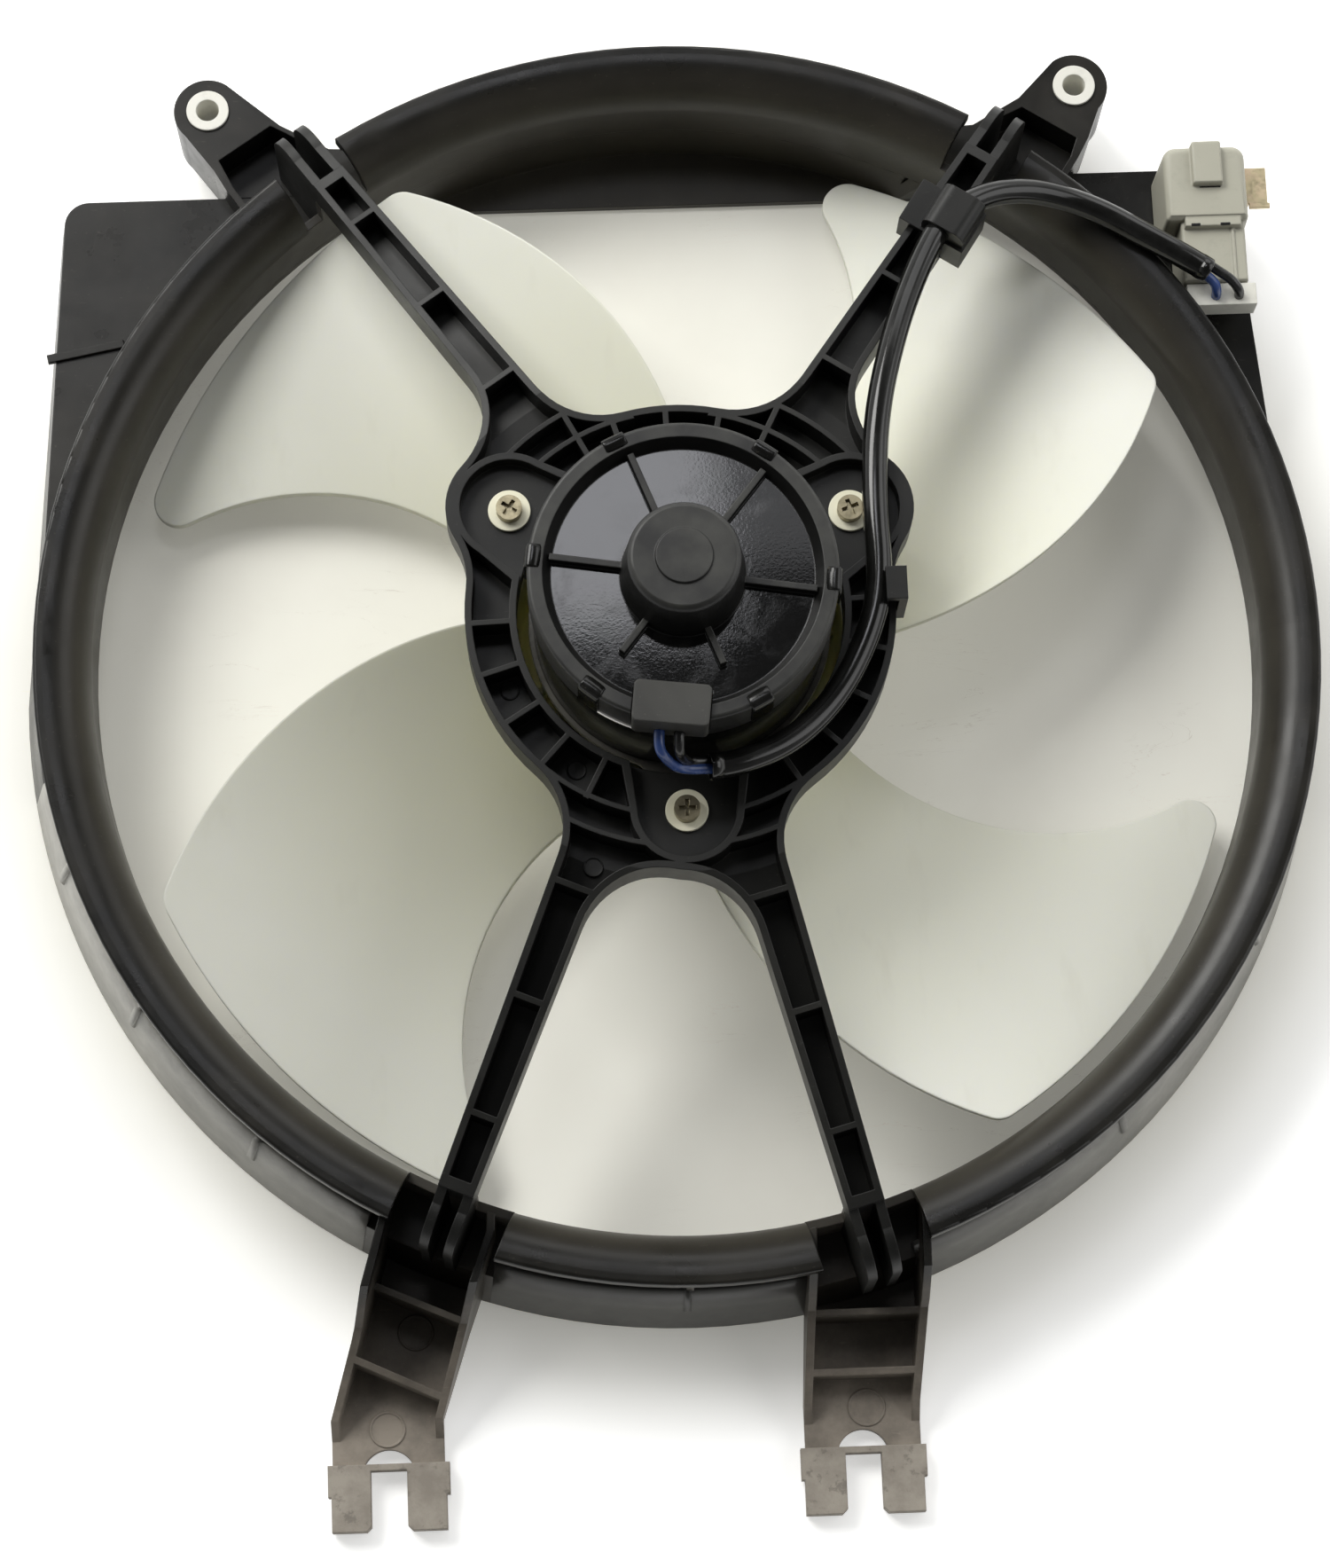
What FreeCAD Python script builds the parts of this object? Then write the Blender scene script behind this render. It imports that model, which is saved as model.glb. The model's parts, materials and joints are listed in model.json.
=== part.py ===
"""Radiator fan shroud with its motor, four-blade fan, harness and mounting feet.

Frame: millimetres, +Z up along the fan axis from the radiator side to the motor side, +Y towards
the two upper ears, +X to the right when looking at the motor. The origin is on the fan axis, in
the plane in which the shroud meets the radiator.
"""
import FreeCAD, Part
import Sketcher
import math
import os

os.makedirs("parts", exist_ok=True)
doc = FreeCAD.newDocument("radiator_fan_shroud")
V = FreeCAD.Vector
UP = V(0, 0, 1)

# ---------------------------------------------------------------- driving dimensions

SIZES = {
    # shroud moulding
    "wall": 2.5,
    "barrel_radius": 161.0,
    "lip_radius": 175.8,
    "lip_height": 46.0,
    "lip_edge": 4.5,
    "bell_radius": 12.2,
    "face_height": 20.0,
    "skirt_radius": 181.3,
    "skirt_draft": 4.5,
    "skirt_shift": -1.2,
    "plenum_top": 146.8,
    "plenum_left": -172.5,
    "plenum_right": 167.8,
    "plenum_corner": 7.0,
    "plenum_draft": 3.0,
    "rear_chord": 144.8,
    "gap_upper": 20.5,
    "gap_lower": 30.0,
    # motor carrier
    "carrier_height": 77.0,
    "carrier_depth": 12.0,
    "carrier_radius": 57.4,
    "carrier_bore": 43.7,
    "carrier_wall": 1.9,
    "carrier_floor": 2.2,
    "arm_width": 13.5,
    "arm_tip": 9.0,
    "arm_drop": 20.0,
        "lobe_radius": 17.0,
    "root_round": 22.0,
    "recess_depth": 5.0,
    "screw_circle": 54.0,
    "screw_radius": 2.5,
    "screw_clearance": 0.25,
    # motor
    "can_radius": 39.2,
    "can_wall": 1.6,
    "can_front": 38.0,
    "can_back": 102.0,
    "cap_radius": 40.4,
    "cap_height": 112.0,
    "dish_height": 107.5,
    "boss_height": 125.0,
    "boss_radius": 16.4,
    "plate_thickness": 2.0,
    "shaft_radius": 4.0,
    "shaft_clearance": 0.03,
    "core_radius": 24.0,
    # fan
    "hub_radius": 47.0,
    "hub_front": 14.0,
    "hub_back": 56.0,
    "hub_wall": 2.6,
    "blade_tip": 156.5,
    "blade_thickness": 2.2,
    # feet, ears and harness
    "collar_radius": 6.0,
    "collar_hole": 3.25,
    "ear_height": 32.0,
    "ear_base": 8.0,
    "ear_radius": 9.6,
    "foot_floor": 2.0,
    "foot_plate": 2.5,
    "foot_length": 232.0,
    "sleeve_radius": 3.5,
    "lead_radius": 1.4,
}

sheet = doc.addObject("Spreadsheet::Sheet", "Sizes")
for row, (alias, value) in enumerate(SIZES.items(), 1):
    sheet.set(f"A{row}", alias)
    sheet.set(f"B{row}", str(value))
    sheet.setAlias(f"B{row}", alias)
doc.recompute()


class Size:
    """A number together with the sheet expression that it comes from."""

    def __init__(self, value, text=None):
        self.value = float(value)
        self.text = text or repr(float(value))

    def __float__(self):
        return self.value

    def joined(self, other, sign, value):
        return Size(value, f"({self.text} {sign} {size(other).text})")

    def __add__(self, other):
        return self.joined(other, "+", self.value + float(other))

    def __sub__(self, other):
        return self.joined(other, "-", self.value - float(other))

    def __mul__(self, other):
        return self.joined(other, "*", self.value * float(other))

    def __truediv__(self, other):
        return self.joined(other, "/", self.value / float(other))

    def __neg__(self):
        return Size(-self.value, f"(-1 * {self.text})")

    def __radd__(self, other):
        return size(other) + self

    def __rsub__(self, other):
        return size(other) - self


def size(value):
    return value if isinstance(value, Size) else Size(value)


def cell(alias):
    """The value of one cell of the sheet, with its expression."""
    return Size(sheet.get(alias), f"Sizes.{alias}")


def named(label):
    """Labels are the node names; the parts written to disk are listed by their label."""
    return label.replace("-", "_")


# ---------------------------------------------------------------- drawing helpers

def place(obj, x=0, y=0, z=0, turn=0, tilt=None):
    """Put an object at a position bound to the sheet, turned about +Z by `turn` degrees."""
    turned_by = FreeCAD.Rotation(UP, turn)
    if tilt:
        turned_by = turned_by.multiply(FreeCAD.Rotation(*tilt))
    obj.Placement = FreeCAD.Placement(V(float(x), float(y), float(z)), turned_by)
    for axis, value in (("x", x), ("y", y), ("z", z)):
        if isinstance(value, Size):
            obj.setExpression(f"Placement.Base.{axis}", value.text)
    return obj


def bind(obj, **sizes):
    """Bind an object's properties to expressions."""
    for name, value in sizes.items():
        obj.setExpression(name, size(value).text)
    return obj


def polar(radius, degrees):
    angle = math.radians(degrees)
    return float(radius) * math.cos(angle), float(radius) * math.sin(angle)


def arc_between(start, end, radius):
    """The short arc from start to end, turning left where the radius is positive."""
    chord = end - start
    middle = (start + end) * 0.5
    half = chord.Length / 2
    rise = math.sqrt(max(radius * radius - half * half, 0.0))
    normal = V(-chord.y, chord.x, 0).normalize()
    centre = middle + normal * (rise if radius > 0 else -rise)
    circle = Part.Circle(centre, UP, abs(radius))
    first, last = (start, end) if radius > 0 else (end, start)
    return Part.ArcOfCircle(circle, circle.parameter(first), circle.parameter(last))


def pin_point(sketch, geometry, vertex, x, y):
    """Tie one vertex of a sketch to its place from the sketch's origin."""
    for kind, axis, value in (("DistanceX", -2, size(x)), ("DistanceY", -1, size(y))):
        if abs(value.value) < 1e-9:
            sketch.addConstraint(Sketcher.Constraint("PointOnObject", geometry, vertex, axis))
        else:
            index = sketch.addConstraint(
                Sketcher.Constraint(kind, -1, 1, geometry, vertex, value.value))
            sketch.setExpression(f"Constraints[{index}]", value.text)


def draw(sketch, corners):
    """A closed outline. A corner (x, y, r) is reached by an arc of radius r."""
    points = [V(float(corner[0]), float(corner[1]), 0) for corner in corners]
    ends = []
    for index, corner in enumerate(corners):
        start, end = points[index - 1], points[index]
        if len(corner) == 3:
            radius = size(corner[2])
            edge = sketch.addGeometry(arc_between(start, end, radius.value), False)
            ends.append((edge, 1, 2) if radius.value > 0 else (edge, 2, 1))
        else:
            edge = sketch.addGeometry(Part.LineSegment(start, end), False)
            ends.append((edge, 1, 2))
    for index, corner in enumerate(corners):
        edge, _, last = ends[index]
        following, first, _ = ends[(index + 1) % len(corners)]
        sketch.addConstraint(Sketcher.Constraint("Coincident", edge, last, following, first))
        pin_point(sketch, edge, last, corner[0], corner[1])
    for index, corner in enumerate(corners):
        if len(corner) == 3:
            radius = abs(float(corner[2]))
            tie = sketch.addConstraint(Sketcher.Constraint("Radius", ends[index][0], radius))
            text = size(corner[2]).text if float(corner[2]) > 0 else (-size(corner[2])).text
            sketch.setExpression(f"Constraints[{tie}]", text)


def draw_circle(sketch, x, y, radius):
    circle = sketch.addGeometry(Part.Circle(V(float(x), float(y), 0), UP, float(radius)), False)
    pin_point(sketch, circle, 3, x, y)
    tie = sketch.addConstraint(Sketcher.Constraint("Radius", circle, float(radius)))
    sketch.setExpression(f"Constraints[{tie}]", size(radius).text)


def origin_plane(body, role):
    return next(f for f in body.Origin.OriginFeatures if f.Role == role)


def new_sketch(body, role="XY_Plane", lift=0):
    """A sketch on one of the body's own origin planes, lifted along the plane's normal."""
    sketch = body.newObject("Sketcher::SketchObject", body.Name + "_sketch")
    sketch.AttachmentSupport = [(origin_plane(body, role), "")]
    sketch.MapMode = "FlatFace"
    sketch.AttachmentOffset = FreeCAD.Placement(V(0, 0, float(lift)), FreeCAD.Rotation())
    if isinstance(lift, Size):
        sketch.setExpression("AttachmentOffset.Base.z", lift.text)
    return sketch


def new_body(name):
    body = doc.addObject("PartDesign::Body", named(name))
    body.Label = name
    return body


def pad(body, corners=(), circles=(), base=0, height=1, role="XY_Plane", centred=False):
    """Pad an outline, with circles as bosses or holes, from its base upwards."""
    sketch = new_sketch(body, role, base)
    if corners:
        draw(sketch, corners)
    for circle in circles:
        draw_circle(sketch, *circle)
    feature = body.newObject("PartDesign::Pad", body.Name + "_pad")
    feature.Profile = sketch
    feature.setExpression("Length", size(height).text)
    feature.SideType = "Symmetric" if centred else "One side"
    return body


def pocket(body, corners=(), circles=(), top=0, depth=1, role="XY_Plane", centred=False):
    """Cut an outline downwards from its top level."""
    sketch = new_sketch(body, role, top)
    if corners:
        draw(sketch, corners)
    for circle in circles:
        draw_circle(sketch, *circle)
    feature = body.newObject("PartDesign::Pocket", body.Name + "_pocket")
    feature.Profile = sketch
    feature.setExpression("Length", size(depth).text)
    feature.SideType = "Symmetric" if centred else "One side"
    return body


def turned(name, corners):
    """A piece turned about the fan axis from its half section (radius, height)."""
    body = new_body(name)
    sketch = new_sketch(body, "XZ_Plane")
    draw(sketch, corners)
    feature = body.newObject("PartDesign::Revolution", named(name) + "_turn")
    feature.Profile = sketch
    feature.ReferenceAxis = (sketch, ["V_Axis"])
    feature.Angle = 360
    return body


def rectangle(x0, y0, x1, y1):
    return [(x0, y0), (x1, y0), (x1, y1), (x0, y1)]


def box(name, dx, dy, dz, x=0, y=0, z=0, turn=0):
    """A block whose near face is centred on (x, y) and which runs out along its turned X."""
    block = doc.addObject("Part::Box", named(name))
    bind(block, Length=dx, Width=dy, Height=dz)
    across = polar(float(dy) / 2, turn - 90)
    place(block, float(x) + across[0], float(y) + across[1], z, turn)
    return block


def cylinder(name, radius, height, x=0, y=0, z=0):
    rod = doc.addObject("Part::Cylinder", named(name))
    bind(rod, Radius=radius, Height=height)
    return place(rod, x, y, z)


def cut(name, base, *tools):
    result = base
    for number, tool in enumerate(tools, 1):
        step = doc.addObject("Part::Cut", f"{named(name)}_cut{number}")
        step.Base = result
        step.Tool = tool
        result = step
    result.Label = name
    return result


def fuse(name, *pieces):
    result = doc.addObject("Part::MultiFuse", named(name) + "_fuse")
    result.Shapes = list(pieces)
    result.Label = name
    return result


def group(name, *pieces):
    """Identical separate solids that share one node."""
    result = doc.addObject("Part::Compound", named(name) + "_group")
    result.Links = list(pieces)
    result.Label = name
    return result


def common(name, one, other):
    result = doc.addObject("Part::Common", named(name) + "_common")
    result.Base = one
    result.Tool = other
    result.Label = name
    return result


def solid(name, shape):
    """A piece whose form only Part's own functions make."""
    piece = doc.addObject("Part::Feature", named(name))
    piece.Shape = shape
    piece.Label = name
    return piece


# ---------------------------------------------------------------- shared places

ARMS = {"upper_left": 124.4, "upper_right": 56.6, "lower_left": -113.2, "lower_right": -74.8}
SCREW_ANGLES = (30.4, 145.9, 269.6)
wall = cell("wall")
barrel = cell("barrel_radius")
lip_top = cell("lip_height")
face = cell("face_height")
skirt = cell("skirt_radius")
shift = cell("skirt_shift")
carrier_top = cell("carrier_height")
carrier_base = carrier_top - cell("carrier_depth")
rest_on_barrel = lip_top - 1
PRONGS = {"upper_left": 184, "upper_right": 181.5, "lower_left": 179, "lower_right": 181.5}
SLOT_HALF = 6.2


# ---------------------------------------------------------------- shroud moulding

def plenum_outline(inset, level):
    """The D-shaped plan of the plenum: square above the fan axis, round below it."""
    sketch = doc.addObject("Sketcher::SketchObject", "plenum_plan")
    place(sketch, z=level)
    radius = skirt - inset
    top = cell("plenum_top") - inset * cell("plenum_draft") / cell("skirt_draft")
    left = cell("plenum_left") + inset * cell("plenum_draft") / cell("skirt_draft")
    right = cell("plenum_right") - inset * cell("plenum_draft") / cell("skirt_draft")
    corner = cell("plenum_corner")
    draw(sketch, [
        (shift, -radius, radius),
        (shift + radius, 0, radius),
        (right, top - corner),
        (right - corner, top, corner),
        (left + corner, top),
        (left, top - corner, corner),
        (shift - radius, 0),
    ])
    return sketch


def drafted(name, lower, upper):
    """A straight-sided loft between two plans."""
    loft = doc.addObject("Part::Loft", name)
    loft.Sections = [lower, upper]
    loft.Solid = True
    loft.Ruled = True
    return loft


def make_plenum():
    """The box against the radiator, with the pocket that closes the barrel's top overhang."""
    draft = cell("skirt_draft")
    envelope = drafted("plenum_envelope", plenum_outline(size(0), size(0)),
                       plenum_outline(draft, face))
    cavity = drafted("plenum_cavity", plenum_outline(wall, size(0)),
                     plenum_outline(draft + wall, face - wall))
    shell = cut("plenum_shell", envelope, cavity)
    overhang = common(
        "overhang",
        cylinder("overhang_round", barrel + wall, face),
        box("overhang_side", 40, 200, face, 0, cell("rear_chord"), 0, 90))
    gussets = []
    for number, angle in enumerate((-90.9, -48.5, -27.5, 197.5, 212, 228)):
        body = new_body(f"gusset_{number}")
        radial = new_sketch(body, "XZ_Plane")
        draw(radial, [
            (barrel + wall, face - 1), (skirt - 6, face - 1),
            (cell("lip_radius") - 2.2, lip_top - cell("lip_edge") - 0.5),
            (barrel + wall, lip_top - cell("bell_radius") - 0.5)])
        web = body.newObject("PartDesign::Pad", body.Name + "_web")
        web.Profile = radial
        web.Length = 2.0
        web.SideType = "Symmetric"
        place(body, shift * 0.5, 0, 0, angle)
        gussets.append(body)
    beads = [
        box("bead_left", 22, 2.4, 1.6, -174.4, 96.5, face - 0.6, 11),
        box("bead_right", 17, 2.4, 1.6, 151.0, 104.0, face - 0.6, -8),
    ]
    whole = fuse("plenum_whole", shell, overhang, *gussets, *beads)
    throat = cylinder("throat", barrel, 60, z=wall)
    outside_barrel = cylinder("barrel_seat", barrel + wall, 60, z=face)
    return cut("shroud_plenum", whole, throat, outside_barrel), envelope


def arm_gaps(label, lift, height):
    """Blocks over the four places where the bell-mouth is left out for an arm."""
    blocks = []
    for name, angle in ARMS.items():
        width = cell("gap_upper") if name.startswith("upper") else cell("gap_lower")
        start = polar(150, angle)
        blocks.append(box(f"{label}_{name}", 40, width, height, *start, lift, angle))
    return blocks


def make_barrel():
    """The ring round the fan: a short cylinder that rolls out into a bell-mouth lip."""
    bell = cell("bell_radius")
    outer = barrel + wall
    roll = barrel + bell
    edge = cell("lip_radius")
    under = lip_top - cell("lip_edge")
    spring = lip_top - bell
    ring = turned("barrel_ring", [
        (barrel, face), (outer, face), (outer, spring),
        (roll, lip_top - wall, -(bell - wall)),
        (roll, under), (edge, under), (edge, lip_top - 1), (edge - 1, lip_top, 1.0),
        (roll, lip_top), (barrel, spring, bell)])
    curtain = turned("curtain", [
        (barrel, spring - 1), (outer, spring - 1), (outer, rest_on_barrel),
        (barrel, rest_on_barrel)])
    gaps = fuse("gaps", *arm_gaps("gap", spring, 30))
    flared = cut("barrel_flared", ring, gaps)
    rests = [box(f"rest_{name}", 40, 10, 20, *polar(150, angle), spring - 1, angle)
             for name, angle in ARMS.items()]
    fill = fuse("gap_fill", *arm_gaps("sill", spring - 1, 3.2), *rests)
    return fuse("shroud_barrel", flared, common("barrel_infill", curtain, fill))


def make_ear(name, arm, side, reach, aside, hollow_end, envelope):
    """An upper ear: a boss for the mounting collar on a boxed bracket beside an arm."""
    collar_x, collar_y = size(reach), size(aside * side)
    radius = cell("ear_radius")
    top = cell("ear_height")
    base = cell("ear_base")
    body = new_body(name + "_block")
    outline = [
        (150, -13.5 * side), (176, -13.5 * side), (179, -9.6 * side), (193, -2.6 * side),
        (collar_x + 3.5, collar_y - radius * 0.93 * side),
        (collar_x + radius * 0.98, collar_y + 2.0 * side, radius * side),
        (collar_x - 2.0, collar_y + radius * 0.98 * side, radius * side),
        (193, 20.4 * side), (186, 21.0 * side), (150, 21.0 * side)]
    hollow = [
        (140, -7.6 * side), (179.5, -7.6 * side), (hollow_end, -0.4 * side),
        (hollow_end, 17.6 * side), (185, 19.0 * side), (140, 19.0 * side)]
    if side < 0:
        outline = mirrored(outline)
        hollow = mirrored(hollow)
    pad(body, outline, base=base, height=top - base)
    pocket(body, hollow, top=top, depth=top - face)
    pocket(body, hollow, top=face - wall, depth=face - wall - base)
    pocket(body, circles=[(collar_x, collar_y, cell("collar_radius"))], top=top,
           depth=top - base)
    place(body, turn=ARMS[arm])
    ear = cut(name, body, cylinder(name + "_ring", barrel + wall, 80), envelope)
    return ear, (collar_x, collar_y)


def mirrored(corners):
    """The same outline drawn the other way round, for a mirrored plan."""
    turns = [corner[2] if len(corner) == 3 else None for corner in corners]
    result = []
    for index in range(len(corners) - 1, -1, -1):
        arriving = turns[(index + 1) % len(corners)]
        point = corners[index][:2]
        result.append(point if arriving is None else (*point, -size(arriving)))
    return result


def make_leg(name, left_side, right_side, mouth, mouth_radius, ribs, envelope):
    """A lower foot: a ribbed channel from the barrel down to a forked end."""
    floor = cell("foot_floor")
    plate = cell("foot_plate")
    end = -cell("foot_length")
    body = new_body(name + "_channel")
    left_x, right_x = left_side[-1][0], right_side[-1][0]
    inner_left = [(x + 2.2, y) for x, y in left_side] + [(left_x + 2.2, -216)]
    inner_right = [(x - 2.2, y) for x, y in right_side] + [(right_x - 2.2, -216)]
    outline = left_side + [(left_x, end), (right_x, end)] + right_side[::-1]
    pad(body, outline, base=floor, height=lip_top - floor)
    pocket(body, inner_left + inner_right[::-1], top=lip_top, depth=lip_top - floor - plate)
    slot = rectangle(mouth[0] - SLOT_HALF, end - 1, mouth[0] + SLOT_HALF, mouth[1])
    pocket(body, slot, top=lip_top, depth=lip_top)
    pocket(body, circles=[(*mouth, mouth_radius)], top=lip_top, depth=lip_top)
    bounds = new_body(name + "_bounds")
    pad(bounds, outline, base=floor, height=lip_top - floor)
    fins = [box(f"{name}_rib_{number}", length, 1.8, 16, x, y, floor + plate, angle)
            for number, (x, y, angle, length) in enumerate(ribs)]
    ribbing = common(name + "_ribbing", fuse(name + "_fins", *fins), bounds)
    whole = fuse(name + "_whole", body, ribbing)
    slope = new_body(name + "_slope")
    profile = new_sketch(slope, "YZ_Plane")
    draw(profile, [
        (-140, lip_top - 5), (-172, lip_top - 5), (-181, 25), (-204, floor + plate + 5),
        (-209, floor + plate), (-260, floor + plate), (-260, 70), (-140, 70)])
    over = slope.newObject("PartDesign::Pad", slope.Name + "_pad")
    over.Profile = profile
    over.Length = 400
    over.SideType = "Symmetric"
    return cut(name, whole, slope, cylinder(name + "_ring", barrel + wall, 80), envelope,
               shroud_barrel)


def make_clip(name, left_x, right_x, slot_x):
    """The slip-on pad over a forked foot: two sleeves joined by a strip."""
    floor = cell("foot_floor")
    plate = cell("foot_plate")
    end = -cell("foot_length")
    skin = 1.3
    start = -215.4
    body = new_body(name)
    inner_left = slot_x - SLOT_HALF
    inner_right = slot_x + SLOT_HALF
    pad(body, [
        (left_x - skin, start), (left_x - skin, start - 8.5), (left_x - 0.4, start - 8.5),
        (left_x - 0.4, end - skin), (inner_left, end - skin), (inner_left + skin, end),
        (inner_left + skin, start - 1.8), (inner_right - skin, start - 1.8),
        (inner_right - skin, end), (inner_right, end - skin), (right_x + 0.4, end - skin),
        (right_x + 0.4, start - 8.5), (right_x + skin, start - 8.5), (right_x + skin, start)],
        base=floor - skin, height=plate + 2 * skin)
    room = rectangle(left_x, end, inner_left, start + 1)
    pocket(body, room, top=floor + plate, depth=plate)
    room = rectangle(inner_right, end, right_x, start + 1)
    pocket(body, room, top=floor + plate, depth=plate)
    middle = rectangle(inner_left, start - 1, inner_right, start + 1)
    pocket(body, middle, top=floor + plate, depth=plate)
    return body


plenum, plenum_envelope = make_plenum()
shroud_barrel = make_barrel()
left_ear, left_collar = make_ear(
    "left_ear", "upper_left", 1, 208.6, 11.5, 194.5, plenum_envelope)
right_ear, right_collar = make_ear(
    "right_ear", "upper_right", -1, 204.3, 9.0, 191.0, plenum_envelope)
left_leg = make_leg(
    "left_leg",
    [(-83.0, -140.0), (-84.5, -151.0), (-94.2, -184.5), (-100.8, -204.0)],
    [(-54.0, -140.0), (-54.8, -158.5), (-63.0, -181.0), (-70.6, -204.0)],
    (size(-85.7), size(-218.8)), 7.2,
    [(-92.0, -167.4, -24, 40), (-99.6, -186.0, -24, 40)], plenum_envelope)
right_leg = make_leg(
    "right_leg",
    [(28.6, -140.0), (28.0, -179.0), (26.6, -204.0)],
    [(61.0, -140.0), (60.4, -179.0), (57.9, -204.0)],
    (size(42.2), size(-217.7)), 6.9,
    [(24.0, -181.0, 0, 42), (24.0, -196.3, 0, 42)], plenum_envelope)
left_clip = make_clip("left_clip", size(-100.8), size(-70.6), size(-85.7))
right_clip = make_clip("right_clip", size(26.6), size(57.9), size(42.2))


# ---------------------------------------------------------------- motor carrier

def disc_face(radius, x=0.0, y=0.0, z=0.0):
    edge = Part.Edge(Part.Circle(V(x, y, z), UP, float(radius)))
    return Part.Face(Part.Wire(edge))


def bar_face(angle, width, start, end, end_width=None):
    """A flat radial bar, which may taper outwards."""
    half = float(width) / 2
    tip = float(end_width if end_width is not None else width) / 2
    corners = [V(start, -half, 0), V(end, -tip, 0), V(end, tip, 0), V(start, half, 0)]
    bar = Part.Face(Part.makePolygon(corners + corners[:1]))
    bar.rotate(V(), UP, angle)
    return bar


def merged(faces):
    """One flat face from several that overlap."""
    whole = faces[0].fuse(faces[1:]).removeSplitter()
    return whole.Faces[0] if len(whole.Faces) == 1 else whole


def recess_face(angle, radius, start):
    """The plan of a screw recess: round at the screw and open towards the motor."""
    screw = float(cell("screw_circle"))
    flare = radius + 2.5
    corners = [V(start, -flare, 0), V(screw, -radius, 0), V(screw, radius, 0), V(start, flare, 0)]
    neck = Part.Face(Part.makePolygon(corners + corners[:1]))
    neck.rotate(V(), UP, angle)
    return merged([neck, disc_face(radius, *polar(screw, angle))])


def prism(flat, low, high):
    lifted = flat.copy()
    lifted.translate(V(0, 0, float(low)))
    return lifted.extrude(V(0, 0, float(high) - float(low)))


def revolved(corners, arcs=()):
    """A solid turned about the fan axis; arcs maps a corner's index to its middle point."""
    points = [V(radius, 0, height) for radius, height in corners]
    edges = []
    for index, point in enumerate(points):
        following = points[(index + 1) % len(points)]
        middle = dict(arcs).get(index)
        if middle:
            edges.append(Part.Arc(point, V(middle[0], 0, middle[1]), following).toShape())
        else:
            edges.append(Part.LineSegment(point, following).toShape())
    return Part.Face(Part.Wire(edges)).revolve(V(), UP, 360)


def spider_envelope():
    """The room for the spider: level over the ring, falling along the arms to the barrel."""
    top = float(carrier_top)
    low = float(carrier_base)
    fall = float(cell("arm_drop"))
    ring = float(cell("carrier_radius")) + 14
    outer = float(barrel + wall)
    return revolved([
        (0, low), (ring, low), (outer, low - fall), (outer, top - fall), (ring, top), (0, top)])


def prong_envelope(reach):
    """The side view of the prongs, which stand on the plenum and round off over the barrel."""
    top = float(carrier_top) - float(cell("arm_drop"))
    outer = float(barrel + wall) - 3
    foot = float(face)
    return revolved([
        (outer, foot), (reach, foot), (reach, top - 14.5), (reach - 11, top - 3), (outer, top)],
        {2: (reach - 2.6, top - 6.2)})


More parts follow.
